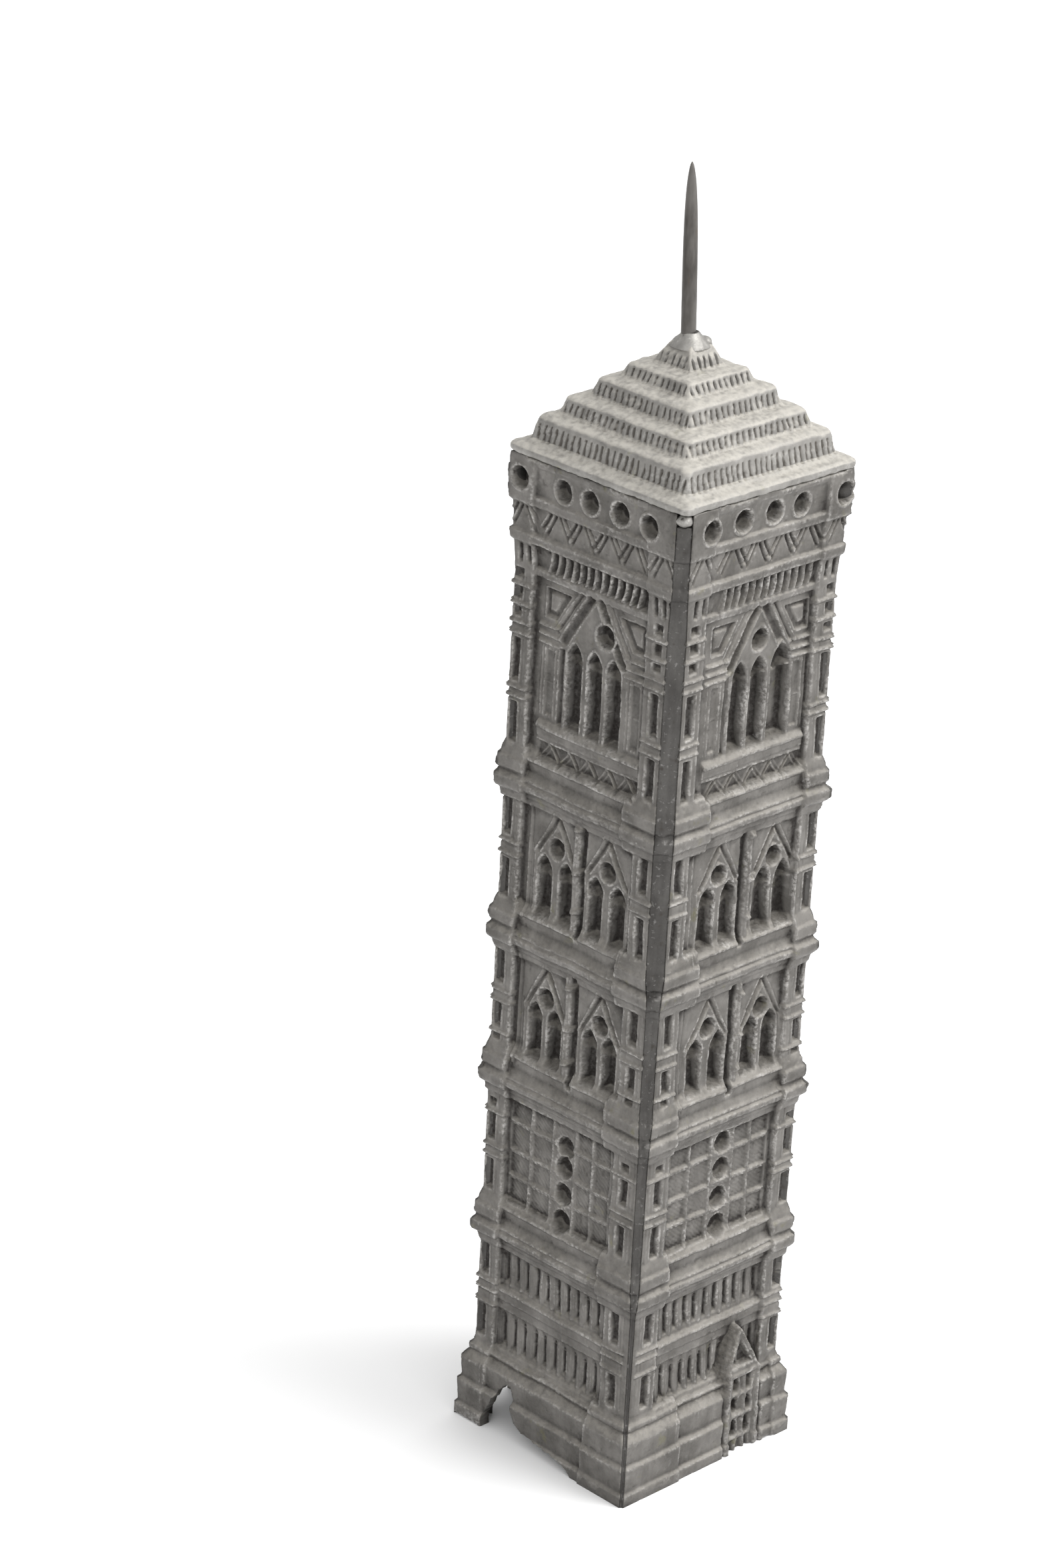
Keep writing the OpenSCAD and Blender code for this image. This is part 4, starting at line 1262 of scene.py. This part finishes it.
# %% Solder material
def solder(name, dark, light, pale_tone):
    """Duller than pewter, with pits full of grime and a few bright specks."""
    mat, nodes, links = new_material(name)
    shader = nodes["Principled BSDF"]
    clouds = grain(nodes, links, 420, 4, (1, 1, 0.4))
    fine = grain(nodes, links, 2200, 4)
    pits = grain(nodes, links, 1100, 2)
    colour = mix(nodes, links, between(nodes, links, clouds, 0.35, 0.65), dark, light)
    darkening = between(nodes, links, pits, 0.38, 0.26)
    colour = mix(nodes, links, darkening, colour, (0.05, 0.045, 0.04))
    bright = between(nodes, links, fine, 0.6, 0.74)
    colour = mix(nodes, links, times(nodes, links, bright, 0.5), colour, pale_tone)
    links.new(colour, shader.inputs["Base Color"])
    shader.inputs["Metallic"].default_value = 0.7
    links.new(between(nodes, links, fine, 0.3, 0.7, 0.4, 0.65), shader.inputs["Roughness"])
    bump = node(nodes, "ShaderNodeBump")
    bump.inputs["Strength"].default_value = 0.5
    bump.inputs["Distance"].default_value = 0.00008
    links.new(times(nodes, links, fine, pits, "ADD"), bump.inputs["Height"])
    links.new(bump.outputs["Normal"], shader.inputs["Normal"])
    return mat


SOLDER = solder("solder", (0.052, 0.049, 0.046), (0.09, 0.086, 0.081), (0.34, 0.33, 0.32))
BRIGHT_SOLDER = solder("bright_solder", (0.19, 0.183, 0.172), (0.34, 0.33, 0.31), (0.6, 0.59, 0.57))
print("solders", SOLDER.name, BRIGHT_SOLDER.name)

# %% The tree for molten lumps
lumpy = Tree("molten lumps", {"Lump Size": 900.0, "Lump Height": 0.0002, "Material": None})
big = lumpy.add("ShaderNodeTexNoise")
big.inputs["Detail"].default_value = 3
lumpy.link(lumpy.given("Lump Size"), big.inputs["Scale"])
rise = lumpy.math("MULTIPLY", lumpy.math("SUBTRACT", big.outputs["Fac"], 0.5),
                  lumpy.attribute("loose"))
rise = lumpy.math("MULTIPLY", rise, lumpy.given("Lump Height"))
lumpy.finish(push_out(lumpy, lumpy.start.outputs[0], rise))
print("tree", lumpy.group.name, "with", len(lumpy.group.nodes), "nodes")

# %% Corner seams
def corner_strip(name, sx, sy, top, seed, corner):
    """A strip down the corner at (sx, sy), as a closed bar with a grooved outer face."""
    rows = np.linspace(0, top, 560)
    across = np.linspace(-1, 1, 13)
    reach = pier_profile(rows)
    leg = profile(corner, rows)
    points, loose = [], []
    out = np.array([sx, sy]) / math.sqrt(2)
    side = np.array([-sy, sx]) / math.sqrt(2)
    blob = np.zeros_like(rows)
    for t in TORUS:
        blob = np.maximum(blob, ramp(1 - np.abs(rows - t - 0.8) / 3.2))
    blob = np.maximum(blob, ramp(1 - np.abs(rows - 112) / 4))
    for z, r, l, b in zip(rows, reach, leg, blob):
        half = l * math.sqrt(2) / 2
        middle = (2 * r - l) / math.sqrt(2)
        middle -= 0.06 + 0.05 * noise(np.array(z), np.array(0.0), 2.1, seed)
        for a in across:
            crease = 0.1 * math.exp(-((a - 0.1) / 0.22) ** 2)
            bulge = 0.16 * b * (1 - a * a)
            w = side * a * half * 0.995
            v = out * (middle - crease * (1 - b) + bulge - 0.05 * a * a)
            points.append((w[0] + v[0], w[1] + v[1], z))
            loose.append((0.35 + 1.6 * b) * (1 - abs(a)) ** 0.5)
        inner = out * ROOT * math.sqrt(2)
        points.append((inner[0], inner[1], z))
        loose.append(0)
    n = len(across) + 1
    faces = []
    for i in range(len(rows) - 1):
        for j in range(n):
            a, b = i * n + j, i * n + (j + 1) % n
            faces.append((a, b, b + n, a + n))
    faces.append(list(range(n))[::-1])
    faces.append([(len(rows) - 1) * n + j for j in range(n)])
    obj = make_object(name, points, faces, True)
    paint(obj, "loose", loose)
    lumpy.apply(obj, {"Lump Size": 750.0, "Lump Height": 0.0007, "Material": SOLDER})
    p = coordinates(obj)
    p[:, :2] = np.clip(p[:, :2], -HALF + 0.03, HALF - 0.03)
    p[:, 2] = np.clip(p[:, 2], 0, top)
    place(obj, p)
    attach(obj, "root")
    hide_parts(name.replace("_bead", ""))
    return obj


TACK = 1.4      # the strips stop this far below the eave, where the tacks begin
for name, sx, sy, seed in (("front_left_seam_bead", -1, -1, 3), ("front_right_seam_bead", 1, -1, 4),
                           ("back_right_seam_bead", 1, 1, 5), ("back_left_seam_bead", -1, 1, 6)):
    corner_strip(name, sx, sy, TALL - TACK, seed, NEAR_CORNER if sx < 0 and sy < 0 else FAR_CORNER)

# %% Eave tacks: four small lumps where the roof is tacked to the corners
def lump(centre, radii, seed, rings=14, spokes=20):
    """A closed uneven ball."""
    points = [(centre[0], centre[1], centre[2] - radii[2])]
    for i in range(1, rings):
        a = math.pi * i / rings
        for j in range(spokes):
            b = 2 * math.pi * j / spokes
            away = 1 + 0.16 * float(noise(np.array(math.cos(b) * 3 + i * 0.4),
                                          np.array(math.sin(b) * 3), 1.3, seed))
            points.append((centre[0] + radii[0] * away * math.sin(a) * math.cos(b),
                           centre[1] + radii[1] * away * math.sin(a) * math.sin(b),
                           centre[2] - radii[2] * math.cos(a)))
    points.append((centre[0], centre[1], centre[2] + radii[2]))
    last = len(points) - 1
    faces = []
    for j in range(spokes):
        k = (j + 1) % spokes
        faces.append((0, 1 + k, 1 + j))
        faces.append((last, last - spokes + j, last - spokes + k))
        for i in range(rings - 2):
            a, b = 1 + i * spokes + j, 1 + i * spokes + k
            faces.append((a, b, b + spokes, a + spokes))
    return points, faces


def join(name, parts):
    """One mesh from several lists of points and faces."""
    points, faces = [], []
    for p, f in parts:
        faces += [[k + len(points) for k in face] for face in f]
        points += list(p)
    return make_object(name, points, faces, True)


parts = []
for k, (sx, sy) in enumerate(((-1, -1), (1, -1), (1, 1), (-1, 1))):
    parts.append(lump((sx * 11.95, sy * 11.95, TALL - 0.7), (0.86, 0.86, 0.68), 30 + k))
tacks = join("eave_tacks", parts)
paint(tacks, "loose", np.ones(len(tacks.data.vertices)))
lumpy.apply(tacks, {"Lump Size": 900.0, "Lump Height": 0.0003, "Material": BRIGHT_SOLDER})
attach(tacks, "root")
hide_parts("eave_solder")

# %% [markdown]
# ## The mast
# A plain steel pin is let into the top of the roof and held by a collar of solder. The pin is
# drawn by sweeping a circle along a line, with the radius shrinking towards the point.

# %% Steel and the pin's tree
def pin_steel():
    mat, nodes, links = new_material("pin_steel")
    shader = nodes["Principled BSDF"]
    clouds = grain(nodes, links, 500, 4, (1, 1, 0.3))
    fine = grain(nodes, links, 3000, 3, (1, 1, 0.15))
    colour = mix(nodes, links, between(nodes, links, clouds, 0.38, 0.62), (0.065, 0.06, 0.055),
                 (0.15, 0.142, 0.133))
    colour = mix(nodes, links, between(nodes, links, fine, 0.6, 0.75, 0, 0.5), colour,
                 (0.09, 0.065, 0.045))
    links.new(colour, shader.inputs["Base Color"])
    shader.inputs["Metallic"].default_value = 0.85
    links.new(between(nodes, links, clouds, 0.3, 0.7, 0.32, 0.55), shader.inputs["Roughness"])
    bump = node(nodes, "ShaderNodeBump")
    bump.inputs["Strength"].default_value = 0.4
    bump.inputs["Distance"].default_value = 0.00004
    links.new(fine, bump.inputs["Height"])
    links.new(bump.outputs["Normal"], shader.inputs["Normal"])
    return mat


STEEL = pin_steel()
pin = Tree("tapered pin", {"Radius": 0.0008, "Foot": 0.124, "Tip": 0.1467, "Foot Lean": 0.0,
                           "Tip Lean": 0.0, "Material": None})
line = pin.add("GeometryNodeCurvePrimitiveLine")
for socket, label in (("Start", "Foot"), ("End", "Tip")):
    at = pin.add("ShaderNodeCombineXYZ")
    pin.link(pin.given(label), at.inputs["Z"])
    pin.link(pin.given(label + " Lean"), at.inputs["Y"])
    pin.link(pin.math("MULTIPLY", pin.given(label + " Lean"), -1.0), at.inputs["X"])
    pin.link(at.outputs[0], line.inputs[socket])
many = pin.add("GeometryNodeResampleCurve")
many.inputs["Count"].default_value = 90
pin.link(line.outputs[0], many.inputs["Curve"])
share = pin.add("GeometryNodeSplineParameter").outputs["Factor"]
taper = pin.math("SUBTRACT", 1.0, pin.math("POWER", share, 5.0))
taper = pin.math("POWER", pin.math("MAXIMUM", taper, 0.004), 0.55)
rough_pin = pin.math("ADD", 0.97, pin.math("MULTIPLY", pin.noise(900, 2.0), 0.05))
sized = pin.add("GeometryNodeSetCurveRadius")
pin.link(many.outputs[0], sized.inputs["Curve"])
pin.link(pin.math("MULTIPLY", pin.math("MULTIPLY", taper, rough_pin), pin.given("Radius")),
         sized.inputs["Radius"])
ring = pin.add("GeometryNodeCurvePrimitiveCircle")
ring.inputs["Resolution"].default_value = 28
ring.inputs["Radius"].default_value = 1.0
swept = pin.add("GeometryNodeCurveToMesh")
pin.link(sized.outputs[0], swept.inputs["Curve"])
pin.link(ring.outputs["Curve"], swept.inputs["Profile Curve"])
if "Scale" in swept.inputs:
    radius = pin.add("GeometryNodeInputRadius")
    pin.link(radius.outputs[0], swept.inputs["Scale"])
swept.inputs["Fill Caps"].default_value = True
soft = pin.add("GeometryNodeSetShadeSmooth")
pin.link(swept.outputs[0], soft.inputs["Geometry"])
pin.finish(soft.outputs[0])
mast = make_object("mast_pin", [(0, 0, 0)], [])
# the pin has been knocked a little to one side
pin.apply(mast, {"Radius": 0.0008, "Foot": 0.124, "Tip": (TOP - 0.02) * MM, "Foot Lean": 0.00005,
                 "Tip Lean": 0.0007, "Material": STEEL})
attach(mast, "root")
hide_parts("mast")

# %% Collar of solder
def collar():
    """Rings of (radius, height) round the pin, with a drop that ran down to one side."""
    rows = [(0.79, 127.3), (1.6, 127.3), (1.98, 127.25), (1.85, 127.55), (1.6, 127.95), (1.3, 128.25),
            (1.08, 128.5), (0.9, 128.75), (0.79, 128.8)]
    t = np.linspace(0, len(rows) - 1, 26)
    radius = np.interp(t, range(len(rows)), [r[0] for r in rows])
    height = np.interp(t, range(len(rows)), [r[1] for r in rows])
    spokes = 48
    points, faces = [], []
    for r, z in zip(radius, height):
        for j in range(spokes):
            a = 2 * math.pi * j / spokes
            # it follows the four-sided roof below and is round at the pin
            swell = 1 + (0.13 * max(abs(math.sin(2 * a)), 0.3) - 0.04) * (r - 0.8)
            points.append((r * swell * math.cos(a), r * swell * math.sin(a), z))
    for i in range(len(t) - 1):
        for j in range(spokes):
            a, b = i * spokes + j, i * spokes + (j + 1) % spokes
            faces.append((a, b, b + spokes, a + spokes))
    last = (len(t) - 1) * spokes
    faces += [(last + j, last + (j + 1) % spokes, (j + 1) % spokes, j) for j in range(spokes)]
    drop = lump((1.25, -0.7, 127.55), (0.95, 0.9, 0.7), 44)
    return join("mast_collar", [(points, faces), drop])


collar_piece = collar()
paint(collar_piece, "loose", np.ones(len(collar_piece.data.vertices)))
lumpy.apply(collar_piece, {"Lump Size": 600.0, "Lump Height": 0.0002, "Material": BRIGHT_SOLDER})
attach(collar_piece, "root")
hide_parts("mast_solder")

# %% [markdown]
# ## Floor, light and camera
# A white floor and a white surround give the even light of a catalogue table. Two large soft
# panels shape the form: the brighter one stands to the right, so the door wall is the lighter
# of the two and the shadow falls to the left. The surround is brighter on that side as well.

# %% Floor
floor_mat, nodes, links = new_material("floor")
floor_shader = nodes["Principled BSDF"]
floor_shader.inputs["Roughness"].default_value = 0.9
paper = grain(nodes, links, 60, 2)
links.new(mix(nodes, links, paper, (0.90, 0.90, 0.90), (0.93, 0.93, 0.93)),
          floor_shader.inputs["Base Color"])
FAR = 2500      # half the floor, so far out that its edge is never seen
floor = make_object("floor", [(-FAR, -FAR, 0), (FAR, -FAR, 0), (FAR, FAR, 0), (-FAR, FAR, 0)],
                    [(0, 1, 2, 3)], False)
floor.data.materials.append(floor_mat)
print("floor", 2 * FAR, "mm wide")

# %% Light
world = bpy.data.worlds.new("studio")
bpy.context.scene.world = world
world.use_nodes = True
# the surround is brighter on the window side, at the right and in front, and dimmer behind
nodes, links = world.node_tree.nodes, world.node_tree.links
nodes["Background"].inputs["Color"].default_value = (1, 1, 1, 1)
toward = node(nodes, "ShaderNodeTexCoord").outputs["Generated"]
facing = node(nodes, "ShaderNodeVectorMath", operation="DOT_PRODUCT")
facing.inputs[1].default_value = (0.62, -0.62, 0.48)
links.new(toward, facing.inputs[0])
links.new(between(nodes, links, facing.outputs["Value"], -1, 1, 0.42, 1.42),
          nodes["Background"].inputs["Strength"])


def panel(name, place, aim, size, power):
    data = bpy.data.lights.new(name, "AREA")
    data.shape = "SQUARE"
    data.size = size
    data.energy = power
    obj = bpy.data.objects.new(name, data)
    obj.location = place
    obj.rotation_euler = (Vector(aim) - Vector(place)).to_track_quat("-Z", "Y").to_euler()
    bpy.context.scene.collection.objects.link(obj)
    return obj


panel("key", (0.35, -0.55, 0.75), (0, 0, 0.06), 0.6, 7.4)
panel("fill", (-0.7, -0.2, 0.5), (0, 0, 0.06), 0.6, 1.0)

# %% Camera
AZ, EL, ROLL = (math.radians(a) for a in (-45.316, 23.223, 3.009))
DISTANCE = 523.79       # from the camera to the point it aims at
MIDDLE = 54.0           # height the aim is counted from
ASIDE, ABOVE = -13.673, 22.239      # how far the aim is moved across and up in the view
back = np.array([math.sin(AZ) * math.cos(EL), -math.cos(AZ) * math.cos(EL), math.sin(EL)])
right = np.cross(-back, (0, 0, 1))
right /= np.linalg.norm(right)
above = np.cross(right, -back)
x_axis = math.cos(ROLL) * right + math.sin(ROLL) * above
y_axis = -math.sin(ROLL) * right + math.cos(ROLL) * above
aim = np.array([0, 0, MIDDLE]) + ASIDE * x_axis + ABOVE * y_axis
stand = (aim + DISTANCE * back) * MM
lens = bpy.data.cameras.new("camera")
lens.lens = 110.78
lens.sensor_width = 36
lens.clip_start = 0.01
eye = bpy.data.objects.new("camera", lens)
bpy.context.scene.collection.objects.link(eye)
turn = np.stack([x_axis, y_axis, back], 1)
eye.matrix_world = Matrix([[*turn[0], stand[0]], [*turn[1], stand[1]], [*turn[2], stand[2]],
                           [0, 0, 0, 1]])
bpy.context.scene.camera = eye
bpy.context.scene.view_settings.view_transform = "Standard"
print("camera at", np.round(stand, 3))
